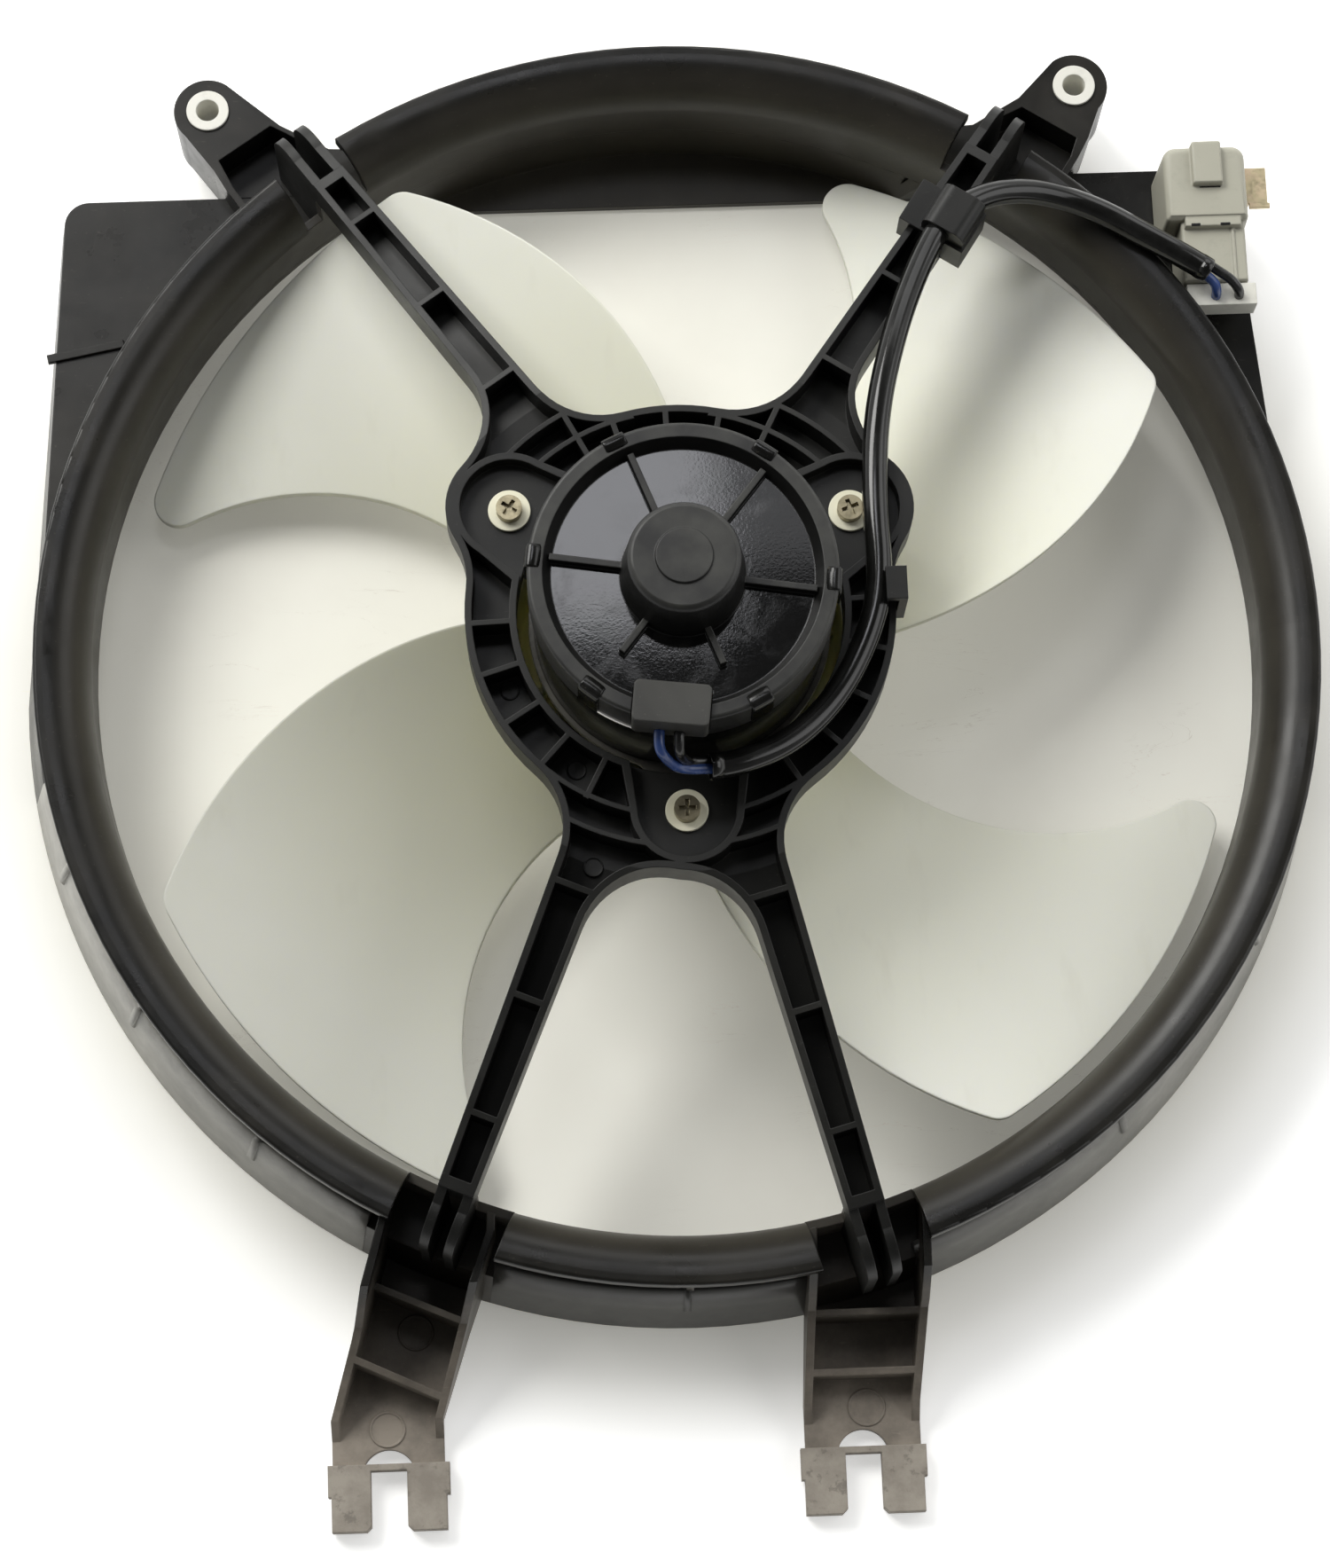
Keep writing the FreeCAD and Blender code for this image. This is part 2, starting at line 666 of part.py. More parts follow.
def make_carrier():
    """The open-channel spider that carries the motor: ring, screw lobes and four arms."""
    ring = float(cell("carrier_radius"))
    bore = float(cell("carrier_bore"))
    skin = float(cell("carrier_wall"))
    floor = float(cell("carrier_floor"))
    width = float(cell("arm_width"))
    outer = float(barrel + wall)
    screw = float(cell("screw_circle"))
    lobe = float(cell("lobe_radius"))
    fillet = float(cell("root_round"))
    top = float(carrier_top)
    base = float(carrier_base)
    tip_width = float(cell("arm_tip"))
    arms = [bar_face(angle, width, 30, 195, tip_width) for angle in ARMS.values()]
    lobes = [disc_face(lobe, *polar(screw, angle)) for angle in SCREW_ANGLES]
    spread = merged([disc_face(ring)] + lobes + arms)
    grown = spread.makeOffset2D(fillet, 0)
    plan = grown.makeOffset2D(-fillet, 0)
    inside = plan.makeOffset2D(-skin, 0)

    # the block, its bore, and the prongs that run down to the plenum outside the barrel
    block = prism(plan, 20, top).common(spider_envelope())
    block = block.cut(Part.makeCylinder(bore, 90))
    seat = float(rest_on_barrel)
    block = block.cut(Part.makeCylinder(outer, seat).cut(Part.makeCylinder(outer - 3, seat)))
    sides = plan.cut(plan.makeOffset2D(-skin - 0.7, 0))
    wings = [prism(sides.common(bar_face(ARMS[name], 30, 140, 190)), face, top)
             .common(prong_envelope(reach)).cut(Part.makeCylinder(outer, seat))
             for name, reach in PRONGS.items()]

    # the channel void between the walls, broken by cross ribs and by the screw recesses
    recess_walls = [recess_face(angle, lobe - skin, bore - 6) for angle in SCREW_ANGLES]
    inner_ring = disc_face(bore + skin)
    void = inside.cut(inner_ring).cut(recess_walls)
    ribs = []
    roots = (ARMS["upper_left"] - 6.6, ARMS["upper_right"] + 6.6)
    for angle in range(2, 360, 15):
        clear = min(abs((angle - other + 180) % 360 - 180) for other in SCREW_ANGLES)
        if clear > 22 and min(abs(angle - other) for other in roots) > 7:
            ribs.append(bar_face(angle, 1.5, bore, ring))
    for angle in roots:
        ribs.append(bar_face(angle, 1.5, bore, ring + 6.4))
    for name, angle in ARMS.items():
        across = angle + 90
        upper = name.startswith("upper")
        stations = (82, 114, 146.5) if upper else (80, 111, 143)
        for station in stations:
            rib = bar_face(across, 1.6, -width, width)
            rib.translate(V(*polar(station, angle), 0))
            ribs.append(rib)
        # two webs concentric with the ring cross each root
        for radius in (ring - 1.8, ring + 5.8) if upper else (ring - 1, ring + 7):
            web = disc_face(radius + 0.7).cut(disc_face(radius - 0.7))
            ribs.append(web.common(bar_face(angle, 44, 30, 80)))
    void = void.cut(ribs)
    channel = spider_envelope()
    channel.translate(V(0, 0, floor))
    hollow = prism(void, 20, top + floor).common(channel)
    hollow = hollow.common(Part.makeCylinder(outer - 3.2, 90))
    carrier = block.cut(hollow).fuse(wings)

    # screw recesses above, hollow lobes with a screw boss below
    depth = float(cell("recess_depth"))
    clearance = float(cell("screw_radius") + cell("screw_clearance"))
    for angle in SCREW_ANGLES:
        x, y = polar(screw, angle)
        hollow = recess_face(angle, lobe - 2 * skin, bore - 10)
        carrier = carrier.cut(prism(hollow, top - depth, top + 1))
        under = recess_face(angle, lobe - 2 * skin, bore + skin).cut(disc_face(8.0, x, y))
        under = under.cut(disc_face(bore + skin))
        carrier = carrier.cut(prism(under, base - 1, top - depth - floor))
        carrier = carrier.cut(Part.makeCylinder(clearance, 40, V(x, y, base - 5)))

    # the hook that holds the harness sleeve against the ring
    post = Part.makeBox(2.3, 9, 18.4, V(ring + 0.1, -2, base + 4))
    foot = Part.makeBox(3.0, 9, 6, V(ring - 0.9, -2, base + 4))
    finger = Part.makeBox(5.6, 9, 2.0, V(ring - 3.2, -2, base + 20.4))
    return solid("motor_carrier", carrier.fuse([post, foot, finger]).removeSplitter())


motor_carrier = make_carrier()


# ---------------------------------------------------------------- motor

can = cell("can_radius")
can_front = cell("can_front")
can_back = cell("can_back")
can_wall = cell("can_wall")
shaft = cell("shaft_radius")
bearing_bore = shaft + cell("shaft_clearance")
BEARING_RADIUS = 8.4
MOTOR_TURN = -6.0
CAP_NOTCH = -97.0
LEAD_SPREAD = 2.6


def hexagon(across_flats):
    radius = across_flats / math.sqrt(3)
    return [polar(radius, 60 * k) for k in range(6)]


def make_can():
    """The drawn steel can, open at the back, with the front bearing seat pressed into it."""
    front = can_front
    inner = can - can_wall
    can_body = turned("motor_can", [
        (5.2, front - 5), (10, front - 5), (10, front), (can - 5, front),
        (can, front + 5, 5), (can, can_back), (inner, can_back), (inner, front + 6),
        (inner - 4.4, front + can_wall, -4.4), (BEARING_RADIUS, front + can_wall),
        (BEARING_RADIUS, front - 3.4), (5.2, front - 3.4)])
    return can_body


def make_end_cap():
    """The moulded rear cap: a dished disc with a bearing boss and six radial ribs."""
    rim = cell("cap_radius")
    top = cell("cap_height")
    dish = cell("dish_height")
    boss = cell("boss_radius")
    peak = cell("boss_height")
    shell = turned("cap_shell", [
        (can, can_back - 4), (rim, can_back - 4), (rim, top - 1), (rim - 1, top, 1),
        (rim - 4, top), (rim - 6, dish), (boss, dish), (boss - 1.6, peak - 2),
        (boss - 3.2, peak, 2.2), (7.6, peak), (7.3, peak + 0.6), (0, peak + 0.6),
        (0, peak - 3), (5.5, peak - 3), (5.5, dish + 6.5), (BEARING_RADIUS, dish + 6.5),
        (BEARING_RADIUS, dish - 2), (rim - 7, dish - 2), (rim - 7, can_back),
        (can, can_back)])
    ribs = []
    for number in range(6):
        length = 11.5 if number in (4, 5) else 20.0
        start = polar(boss - 1.5, 60 * number + MOTOR_TURN - 3)
        ribs.append(box(f"cap_rib_{number}", length, 1.7, 3.4, *start, dish - 0.4,
                        60 * number + MOTOR_TURN - 3))
    notch_start = polar(30.2, CAP_NOTCH)
    notch = box("cap_notch", 16, 20.4, 12, *notch_start, can_back + 0.6, CAP_NOTCH)
    return cut("motor_end_cap", fuse("cap_ribbed", shell, *ribs), notch)


def make_grommet():
    """The rubber block that fills the notch in the cap and lets the two leads out."""
    body = new_body("wire_grommet")
    pad(body, [
        (31.9, -10.0, 1.5), (39.9, -10.0), (41.4, -8.5, 1.5), (41.4, 8.5), (39.9, 10.0, 1.5),
        (31.9, 10.0), (30.4, 8.5, 1.5), (30.4, -8.5)],
        base=can_back + 0.7, height=11.2)
    holes = new_sketch(body, "YZ_Plane", 30)
    for y in (-LEAD_SPREAD, LEAD_SPREAD):
        draw_circle(holes, y, can_back + 3.5, cell("lead_radius"))
    feature = body.newObject("PartDesign::Pocket", "grommet_holes")
    feature.Profile = holes
    feature.Length = 30
    feature.Reversed = True
    return place(body, turn=CAP_NOTCH)


def make_mount_plate():
    """The pressed plate welded round the can, with an ear under each carrier screw."""
    thickness = float(cell("plate_thickness"))
    screw = float(cell("screw_circle"))
    ears = [disc_face(8.0, *polar(screw, angle)) for angle in SCREW_ANGLES]
    links = [bar_face(angle, 26, 30, screw, 15) for angle in SCREW_ANGLES]
    plan = merged([disc_face(40.6)] + ears + links)
    plan = plan.makeOffset2D(4.0, 0).makeOffset2D(-4.0, 0)
    plate = prism(plan, float(carrier_base) - thickness, carrier_base)
    plate = plate.cut(Part.makeCylinder(float(can), 100))
    hole = float(cell("screw_radius") + cell("screw_clearance"))
    for angle in SCREW_ANGLES:
        plate = plate.cut(Part.makeCylinder(hole, 100, V(*polar(screw, angle), 0)))
    return solid("motor_mount_plate", plate)


def make_fasteners():
    """Three pan-head screws with broad washers above the carrier and nuts under the plate."""
    seat = carrier_top - cell("recess_depth")
    shank = cell("screw_radius")
    under = carrier_base - cell("plate_thickness")
    washers, screws, nuts = [], [], []
    for number, angle in enumerate(SCREW_ANGLES):
        x, y = polar(cell("screw_circle"), angle)
        washer = new_body(f"washer_{number}")
        pad(washer, circles=[(0, 0, 5.7), (0, 0, shank + 0.25)], base=seat, height=1.2)
        washers.append(place(washer, x, y))
        screw = new_body(f"screw_{number}")
        pad(screw, circles=[(0, 0, shank)], base=under - 5, height=seat - under + 6.2)
        pad(screw, circles=[(0, 0, 3.5)], base=seat + 1.2, height=2.9)
        for turn in (0, 90):
            length, width = (4.6, 1.1) if turn == 0 else (1.1, 4.6)
            slot = rectangle(-length / 2, -width / 2, length / 2, width / 2)
            pocket(screw, slot, top=seat + 4.1, depth=1.6)
        place(screw, x, y, turn=20 + 35 * number)
        screws.append(screw)
        nut = new_body(f"nut_{number}")
        pad(nut, hexagon(8.0), [(0, 0, shank)], base=under - 4, height=4)
        nuts.append(place(nut, x, y, turn=angle))
    return (group("mount_washers", *washers), group("mount_screws", *screws),
            group("mount_nuts", *nuts))


def tube(name, inner, outer, low, high):
    body = new_body(name)
    return pad(body, circles=[(0, 0, outer), (0, 0, inner)], base=low, height=high - low)


def make_field_magnets():
    """Two ferrite arcs bonded inside the can."""
    inner = can - can_wall
    whole = cut("magnet_ring", cylinder("magnet_outer", inner, 40, z=can_front + 14),
                cylinder("magnet_inner", inner - 5.2, 60, z=can_front))
    gaps = [box(f"magnet_gap_{turn}", 60, 20, 60, 0, 0, can_front, turn) for turn in (90, 270)]
    return cut("field_magnets", whole, *gaps)


def make_brush_gear():
    """The card under the cap with two brush boxes, the brushes and their springs."""
    top = can_back
    inner = can - can_wall
    body = new_body("brush_card_disc")
    pad(body, circles=[(0, 0, inner), (0, 0, 13.0)], base=top - 2.4, height=2.4)
    guides, brushes, springs = [], [], []
    for side, turn in enumerate((35, 215)):
        guide = box(f"brush_box_{side}", 17, 9, 6.6, *polar(14, turn), top - 9.0, turn)
        room = box(f"brush_room_{side}", 15.5, 6.4, 5.2, *polar(13, turn), top - 8.3, turn)
        guides.append(cut(f"brush_guide_{side}", guide, room))
        brushes.append(box(f"brush_{side}", 9.5, 6.2, 5.0, *polar(11.4, turn),
                           top - 8.2, turn))
        spring = new_body(f"brush_spring_{side}")
        pad(spring, circles=[(0, 0, 2.3), (0, 0, 1.7)], base=20.9, height=7.6)
        springs.append(place(spring, 0, 0, top - 5.7, turn, (V(0, 1, 0), 90)))
    return (fuse("brush_card", body, *guides), group("brushes", *brushes),
            group("brush_springs", *springs))


# ---------------------------------------------------------------- rotor

def make_armature():
    """The slotted core on the shaft, its windings and the commutator."""
    core_low = can_front + 15
    core_length = 32
    radius = can - can_wall - 5.8
    slots = [box(f"slot_{k}", 13, 4.2, core_length, *polar(radius - 15, 30 * k),
                 core_low, 30 * k) for k in range(12)]
    mouths = [box(f"slot_mouth_{k}", 6, 1.6, core_length, *polar(radius - 4, 30 * k),
                  core_low, 30 * k) for k in range(12)]
    core = cut("armature_core", cylinder("core_round", radius, core_length, z=core_low),
               *slots, *mouths, cylinder("core_bore", shaft, 80, z=can_front))
    bars = [box(f"coil_{k}", 12, 3.8, core_length + 4, *polar(radius - 14.8, 30 * k),
                core_low - 2, 30 * k) for k in range(12)]
    rings = [turned(f"end_turns_{end}", [
        (12, low), (radius - 4, low), (radius - 2, low + 3, 3.6), (radius - 4, low + 6, 3.6),
        (12, low + 6)]) for end, low in enumerate((core_low - 6.5, core_low + core_length + 0.5))]
    return core, fuse("armature_windings", *rings, *bars)


def make_commutator():
    low = can_back - 10
    drum = cut("commutator_drum", cylinder("commutator_round", 11.0, 9.6, z=low),
               cylinder("commutator_bore", shaft, 20, z=low - 2))
    cuts = [box(f"bar_gap_{k}", 3, 0.5, 12, *polar(9.6, 30 * k + 15), low - 1, 30 * k + 15)
            for k in range(12)]
    return cut("commutator", drum, *cuts)


def make_shaft():
    """The shaft, stepped down to a thread behind the fan nut, cross drilled for its pin."""
    front = cell("hub_front")
    low = front - 9
    back = cell("dish_height") + 8
    bar = turned("shaft_bar", [
        (0, low), (2.5, low), (3.0, low + 0.5), (3.0, front), (shaft, front),
        (shaft, back - 0.5), (shaft - 0.5, back), (0, back)])
    pin_hole = new_body("pin_hole")
    pad(pin_hole, circles=[(0, front + 15.2, 1.25)], height=30, role="XZ_Plane", centred=True)
    return cut("rotor_shaft", bar, pin_hole)


def make_drive_pin():
    body = new_body("drive_pin")
    return pad(body, circles=[(0, cell("hub_front") + 15.2, 1.25)], height=15,
               role="XZ_Plane", centred=True)


def make_fan_nut():
    nut = new_body("fan_nut")
    pad(nut, hexagon(10.0), [(0, 0, 3.0)], base=cell("hub_front") - 6.5, height=5.0)
    washer = new_body("fan_washer")
    pad(washer, circles=[(0, 0, 8.0), (0, 0, 3.05)], base=cell("hub_front") - 1.5, height=1.5)
    return nut, washer


BLADE_STATIONS = (
    # radius, height on the blade's own axis, fall per millimetre across it, camber
    (26.0, 26.0, 0.72, 2.0),
    (68.0, 27.5, 0.45, 5.0),
    (110.0, 28.5, 0.31, 7.0),
    (158.0, 29.5, 0.235, 8.0),
)
BLADE_AXIS = 45.0
BLADE_TURNS = (0.0, 89.5, 176.0, 273.0)
BLADE_HALF_WIDTH = 92.0


def blade_section(radius, height, fall, camber):
    """A thin arched strip across the blade, high on the trailing side, low on the leading."""
    half = BLADE_HALF_WIDTH * (0.55 + 0.45 * radius / 158.0)
    thickness = float(cell("blade_thickness"))
    ends = [V(radius, y, height - fall * y) for y in (-half, half)]
    middle = V(radius, 0, height - camber)
    lift = V(0, 0, thickness)
    lower = Part.Arc(ends[0], middle, ends[1]).toShape()
    upper = Part.Arc(ends[1] + lift, middle + lift * 1.15, ends[0] + lift).toShape()
    sides = [Part.LineSegment(ends[1], ends[1] + lift).toShape(),
             Part.LineSegment(ends[0] + lift, ends[0]).toShape()]
    return Part.Wire([lower, sides[0], upper, sides[1]])


def blade_plan():
    """The blade seen along the axis: convex trailing edge, concave swept leading edge."""
    def spot(radius, angle):
        return V(*polar(radius, angle), 0)
    hub = float(cell("hub_radius")) - 1.2
    tip = float(cell("blade_tip"))
    trailing = Part.Arc(spot(hub, -5), spot(105, 12.5), spot(tip, 28.5)).toShape()
    outer = Part.Arc(spot(tip, 28.5), spot(tip, 50), spot(tip, 75.5)).toShape()
    leading = Part.Arc(spot(tip, 75.5), spot(100, 58.2), spot(hub, 63)).toShape()
    root = Part.LineSegment(spot(hub, 63), spot(hub, -5)).toShape()
    flat = Part.Face(Part.Wire([trailing, outer, leading, root]))
    blank = prism(flat, -30, 80)
    tips = [edge for edge in blank.Edges
            if abs(edge.Vertexes[0].X - edge.Vertexes[-1].X) < 1e-6
            and abs(edge.Vertexes[0].Y - edge.Vertexes[-1].Y) < 1e-6
            and math.hypot(edge.Vertexes[0].X, edge.Vertexes[0].Y) > tip - 1]
    return blank.makeFillet(7.0, tips)


def make_fan():
    """The moulded fan: a ribbed cup-shaped hub and four swept, twisted blades."""
    hub = float(cell("hub_radius"))
    front = float(cell("hub_front"))
    back = float(cell("hub_back"))
    skin = float(cell("hub_wall"))
    bore = float(shaft)
    cup = revolved([
        (bore, front), (hub - 7, front), (hub, front + 7), (hub, back), (hub - skin, back),
        (hub - skin, front + 8), (hub - 8, front + skin), (10, front + skin),
        (9.4, front + 17), (bore, front + 17)],
        {1: (hub - 2.05, front + 2.05), 5: (hub - 3.8, front + 3.8)})
    ribs = [prism(bar_face(45 * k + 10, 1.8, 8, hub - 1), front + 1, front + 11)
            for k in range(8)]
    pin_slot = Part.makeBox(40, 2.6, 6, V(-20, -1.3, front + 13.9))
    sheet_form = Part.makeLoft([blade_section(*station) for station in BLADE_STATIONS], True)
    sheet_form.rotate(V(), UP, BLADE_AXIS)
    blade = sheet_form.common(blade_plan())
    blade = blade.cut(Part.makeCylinder(hub - skin, 120, V(0, 0, -20)))
    blades = []
    for turn in BLADE_TURNS:
        copy = blade.copy()
        copy.rotate(V(), UP, turn)
        blades.append(copy)
    slot = pin_slot
    slot.rotate(V(), UP, 90)
    return solid("fan", cup.fuse(ribs).cut(slot).fuse(blades).removeSplitter())


motor_can = make_can()
motor_end_cap = make_end_cap()
wire_grommet = make_grommet()
motor_mount_plate = make_mount_plate()
mount_washers, mount_screws, mount_nuts = make_fasteners()
bearing_front = tube("bearing_front", bearing_bore, size(BEARING_RADIUS),
                     can_front - 3.4, can_front + 1.6)
bearing_rear = tube("bearing_rear", bearing_bore, size(BEARING_RADIUS),
                    cell("dish_height") + 1.5, cell("dish_height") + 6.5)
field_magnets = make_field_magnets()
brush_card, brushes, brush_springs = make_brush_gear()
armature_core, armature_windings = make_armature()
commutator = make_commutator()
rotor_shaft = make_shaft()
drive_pin = make_drive_pin()
fan_nut, fan_washer = make_fan_nut()
fan = make_fan()


# ---------------------------------------------------------------- harness

SLEEVE_ROUTE = [
    (5.6, -47.0, 91.0), (13.0, -46.2, 89.6), (27.7, -39.5, 85.5), (40.0, -27.2, 82.0),
    (48.8, -11.5, 81.2), (53.4, 4.0, 81.2), (52.6, 28.0, 81.6), (54.4, 52.0, 80.2),
    (61.0, 77.0, 76.2), (68.8, 97.2, 71.0), (76.6, 111.6, 67.8), (88.0, 120.4, 63.8),
    (101.0, 124.0, 57.8), (113.0, 123.0, 53.0), (124.0, 119.0, 50.8), (134.0, 112.8, 50.2),
    (144.2, 107.0, 49.2), (152.0, 102.8, 46.6)]
# the bends of each lead between its grommet hole and the sleeve, then from sleeve to plug
LEAD_BENDS = {
    "blue": ([(-4.6, -49.8, 100.6), (-2.4, -50.2, 94.6)], []),
    "black": ([(-1.6, -46.4, 97.0)], [(159.2, 100.2, 45.0)]),
}
PLUG_CAVITIES = {"blue": (154.9, 97.6), "black": (161.4, 97.6)}


def cord_path(points):
    """Straight runs joined by tangent arcs, each as large as its two runs allow."""
    spots = [V(*point) for point in points]
    edges, radii = [], []
    start = spots[0]
    for index in range(1, len(spots) - 1):
        back = spots[index - 1] - spots[index]
        ahead = spots[index + 1] - spots[index]
        half_turn = (math.pi - back.getAngle(ahead)) / 2
        reach = 0.45 * min(back.Length, ahead.Length)
        radii.append(reach / math.tan(half_turn))
        enter = spots[index] + back.normalize() * reach
        leave = spots[index] + ahead.normalize() * reach
        inward = (back + ahead).normalize()
        depth = radii[-1] / math.cos(half_turn) - radii[-1]
        edges.append(Part.LineSegment(start, enter).toShape())
        edges.append(Part.Arc(enter, spots[index] + inward * depth, leave).toShape())
        start = leave
    edges.append(Part.LineSegment(start, spots[-1]).toShape())
    return Part.Wire(edges), radii


def cord(label, points, radius):
    """A round cord along a route of points."""
    path, radii = cord_path(points)
    along = (V(*points[1]) - V(*points[0])).normalize()
    section = Part.Wire(Part.Edge(Part.Circle(V(*points[0]), along, float(radius))))
    shape = path.makePipeShell([section], True, True)
    expected = math.pi * float(radius) ** 2 * path.Length
    print(f"{label}: length {path.Length:.1f}, volume ratio {shape.Volume / expected:.3f}, "
          f"radii {[round(value, 1) for value in radii]}")
    return shape


def make_harness():
    """The sleeve from motor to plug and the two leads that show at each of its ends."""
    sleeve = solid("wire_sleeve", cord("wire_sleeve", SLEEVE_ROUTE, cell("sleeve_radius")))
    route = [V(*point) for point in SLEEVE_ROUTE]
    inward = (route[1] - route[0]).normalize()
    outward = (route[-1] - route[-2]).normalize()
    out_of_cap = V(*polar(1, CAP_NOTCH), 0)
    hole = float(cell("can_back")) + 3.5
    leads = {}
    beside = UP.cross(inward).normalize() * 1.55
    across = outward.cross(UP).normalize() * 1.55
    for side, colour in ((1, "blue"), (-1, "black")):
        motor_bends, plug_bends = LEAD_BENDS[colour]
        start = out_of_cap * 41.4 - UP.cross(out_of_cap) * (LEAD_SPREAD * side) + UP * hole
        motor_end = [start, start + out_of_cap * 4.6, *motor_bends,
                     route[0] - inward * 4.6 - beside * side, route[0] - beside * side]
        x, y = PLUG_CAVITIES[colour]
        top = float(face) + 20.2
        plug_end = [route[-1] + across * side, route[-1] + outward * 3.2 + across * side,
                    *plug_bends, V(x, y, top + 2.6), V(x, y, top)]
        ends = [cord(f"lead_{colour}_{place_name}", points, cell("lead_radius"))
                for place_name, points in (("motor", motor_end), ("plug", plug_end))]
        leads[colour] = solid(f"lead_{colour}", Part.makeCompound(ends))
    return sleeve, leads["blue"], leads["black"]


def make_sleeve_clip(sleeve):
    """The jaw clip that straddles the upper right arm and holds the sleeve on top of it."""
    angle = ARMS["upper_right"]
    jaw = Part.makeBox(12.5, 13, 18.3, V(131.5, -11, 54.5))
    crown = [edge for edge in jaw.Edges
             if all(vertex.Z > 70 for vertex in edge.Vertexes)
             and abs(edge.Vertexes[0].Y - edge.Vertexes[-1].Y) < 1e-6]
    block = jaw.makeFillet(3.5, crown).fuse(Part.makeBox(13.5, 20, 11.5, V(130.5, -11.6, 54.5)))
    block.rotate(V(), UP, angle)
    arm = bar_face(angle, cell("arm_width"), 30, 195, cell("arm_tip"))
    block = block.cut(prism(arm, 20, 90).common(spider_envelope()))
    return solid("sleeve_clip", block.cut(sleeve.Shape))


def make_connector():
    """The two-way plug housing on its spring bracket, with terminals and wire retainer."""
    base = face + 1.2
    housing = new_body("connector_block")
    pad(housing, [
        (141.8, 122.0), (144.8, 119.0, 3.0), (146.2, 119.0), (146.2, 101.2), (164.6, 101.2),
        (164.6, 119.0), (166.0, 119.0), (166.0, 139.0), (163.0, 142.0, 3.0), (144.8, 142.0),
        (141.8, 139.0, 3.0)], base=base, height=20)
    pad(housing, rectangle(142.8, 120.6, 165.0, 141.0), base=base + 20, height=2.4)
    pad(housing, rectangle(150.0, 129.2, 158.6, 142.2), base=base + 22.4, height=2.4)
    pocket(housing, rectangle(144.4, 128.0, 163.4, 145.0), top=base + 18.4, depth=14.8)
    pocket(housing, rectangle(149.0, 117.4, 151.6, 119.9), top=base + 22.4, depth=1.4)
    pocket(housing, rectangle(157.2, 117.4, 160.6, 119.9), top=base + 22.4, depth=1.4)
    retainer = new_body("connector_retainer")
    pad(retainer, rectangle(147.0, 94.9, 166.4, 101.2), base=base + 11.3, height=7.7)
    blades = []
    for number, x in enumerate((149.2, 155.6)):
        blades.append(box(f"terminal_{number}", 12.5, 0.8, 6.3, x, 126.5, base + 8, 90))
    terminals = group("connector_terminals", *blades)
    seats = [box(f"terminal_seat_{number}", 1.5, 0.8, 6.3, x, 126.5, base + 8, 90)
             for number, x in enumerate((149.2, 155.6))]
    bracket = new_body("connector_bracket")
    pad(bracket, rectangle(146.0, 127.4, 167.4, 138.0), base=face, height=1.2)
    pad(bracket, rectangle(166.2, 127.4, 167.4, 138.0), base=face, height=14.2)
    pad(bracket, rectangle(166.2, 127.4, 172.6, 138.0), base=face + 13, height=1.2)
    pad(bracket, rectangle(167.4, 126.0, 173.2, 127.4), base=face + 13, height=1.2)
    return cut("connector_housing", housing, *seats), retainer, terminals, bracket


def make_collars():
    """The flanged bushes in the ears, one bolt through each."""
    collars = []
    for arm, (x, y) in (("upper_left", left_collar), ("upper_right", right_collar)):
        collar = new_body(f"collar_{arm}")
        radius = cell("collar_radius")
        hole = cell("collar_hole")
        low = cell("ear_base") - 0.8
        length = cell("ear_height") - cell("ear_base") + 1.6
        pad(collar, circles=[(0, 0, radius), (0, 0, hole)], base=low, height=length)
        spot = FreeCAD.Rotation(UP, ARMS[arm]).multVec(V(float(x), float(y), 0))
        collars.append(place(collar, spot.x, spot.y))
    return group("mount_collars", *collars)


connector_housing, connector_retainer, connector_terminals, connector_bracket = make_connector()
wire_sleeve, lead_blue, lead_black = make_harness()
sleeve_clip = make_sleeve_clip(wire_sleeve)
mount_collars = make_collars()

# ---------------------------------------------------------------- check and write

NODES = [
    plenum, shroud_barrel, motor_carrier, left_ear, right_ear, mount_collars,
    left_leg, right_leg, left_clip, right_clip,
    motor_can, motor_end_cap, motor_mount_plate, mount_washers, mount_screws, mount_nuts,
    field_magnets, brush_card, brushes, brush_springs, bearing_front, bearing_rear,
    wire_grommet, lead_blue, lead_black, wire_sleeve, sleeve_clip,
    connector_housing, connector_retainer, connector_terminals, connector_bracket,
    fan, fan_nut, fan_washer, drive_pin, rotor_shaft, armature_core, armature_windings,
    commutator]

doc.recompute()
for obj in doc.Objects:
    if "Invalid" in obj.State or "Error" in obj.State:
        raise RuntimeError(f"{obj.Name} did not build: {obj.State}")
for node in NODES:
    if node.Shape.isNull() or not node.Shape.isValid():
        raise RuntimeError(f"{node.Label} has no valid shape")
for node in NODES:
    node.Shape.exportStep(f"parts/{node.Label}.step")
print(f"{len(NODES)} pieces written")
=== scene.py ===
"""Looks of the radiator fan shroud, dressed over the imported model."""
import json
import math

import bmesh
import bpy
from mathutils import Matrix, Vector


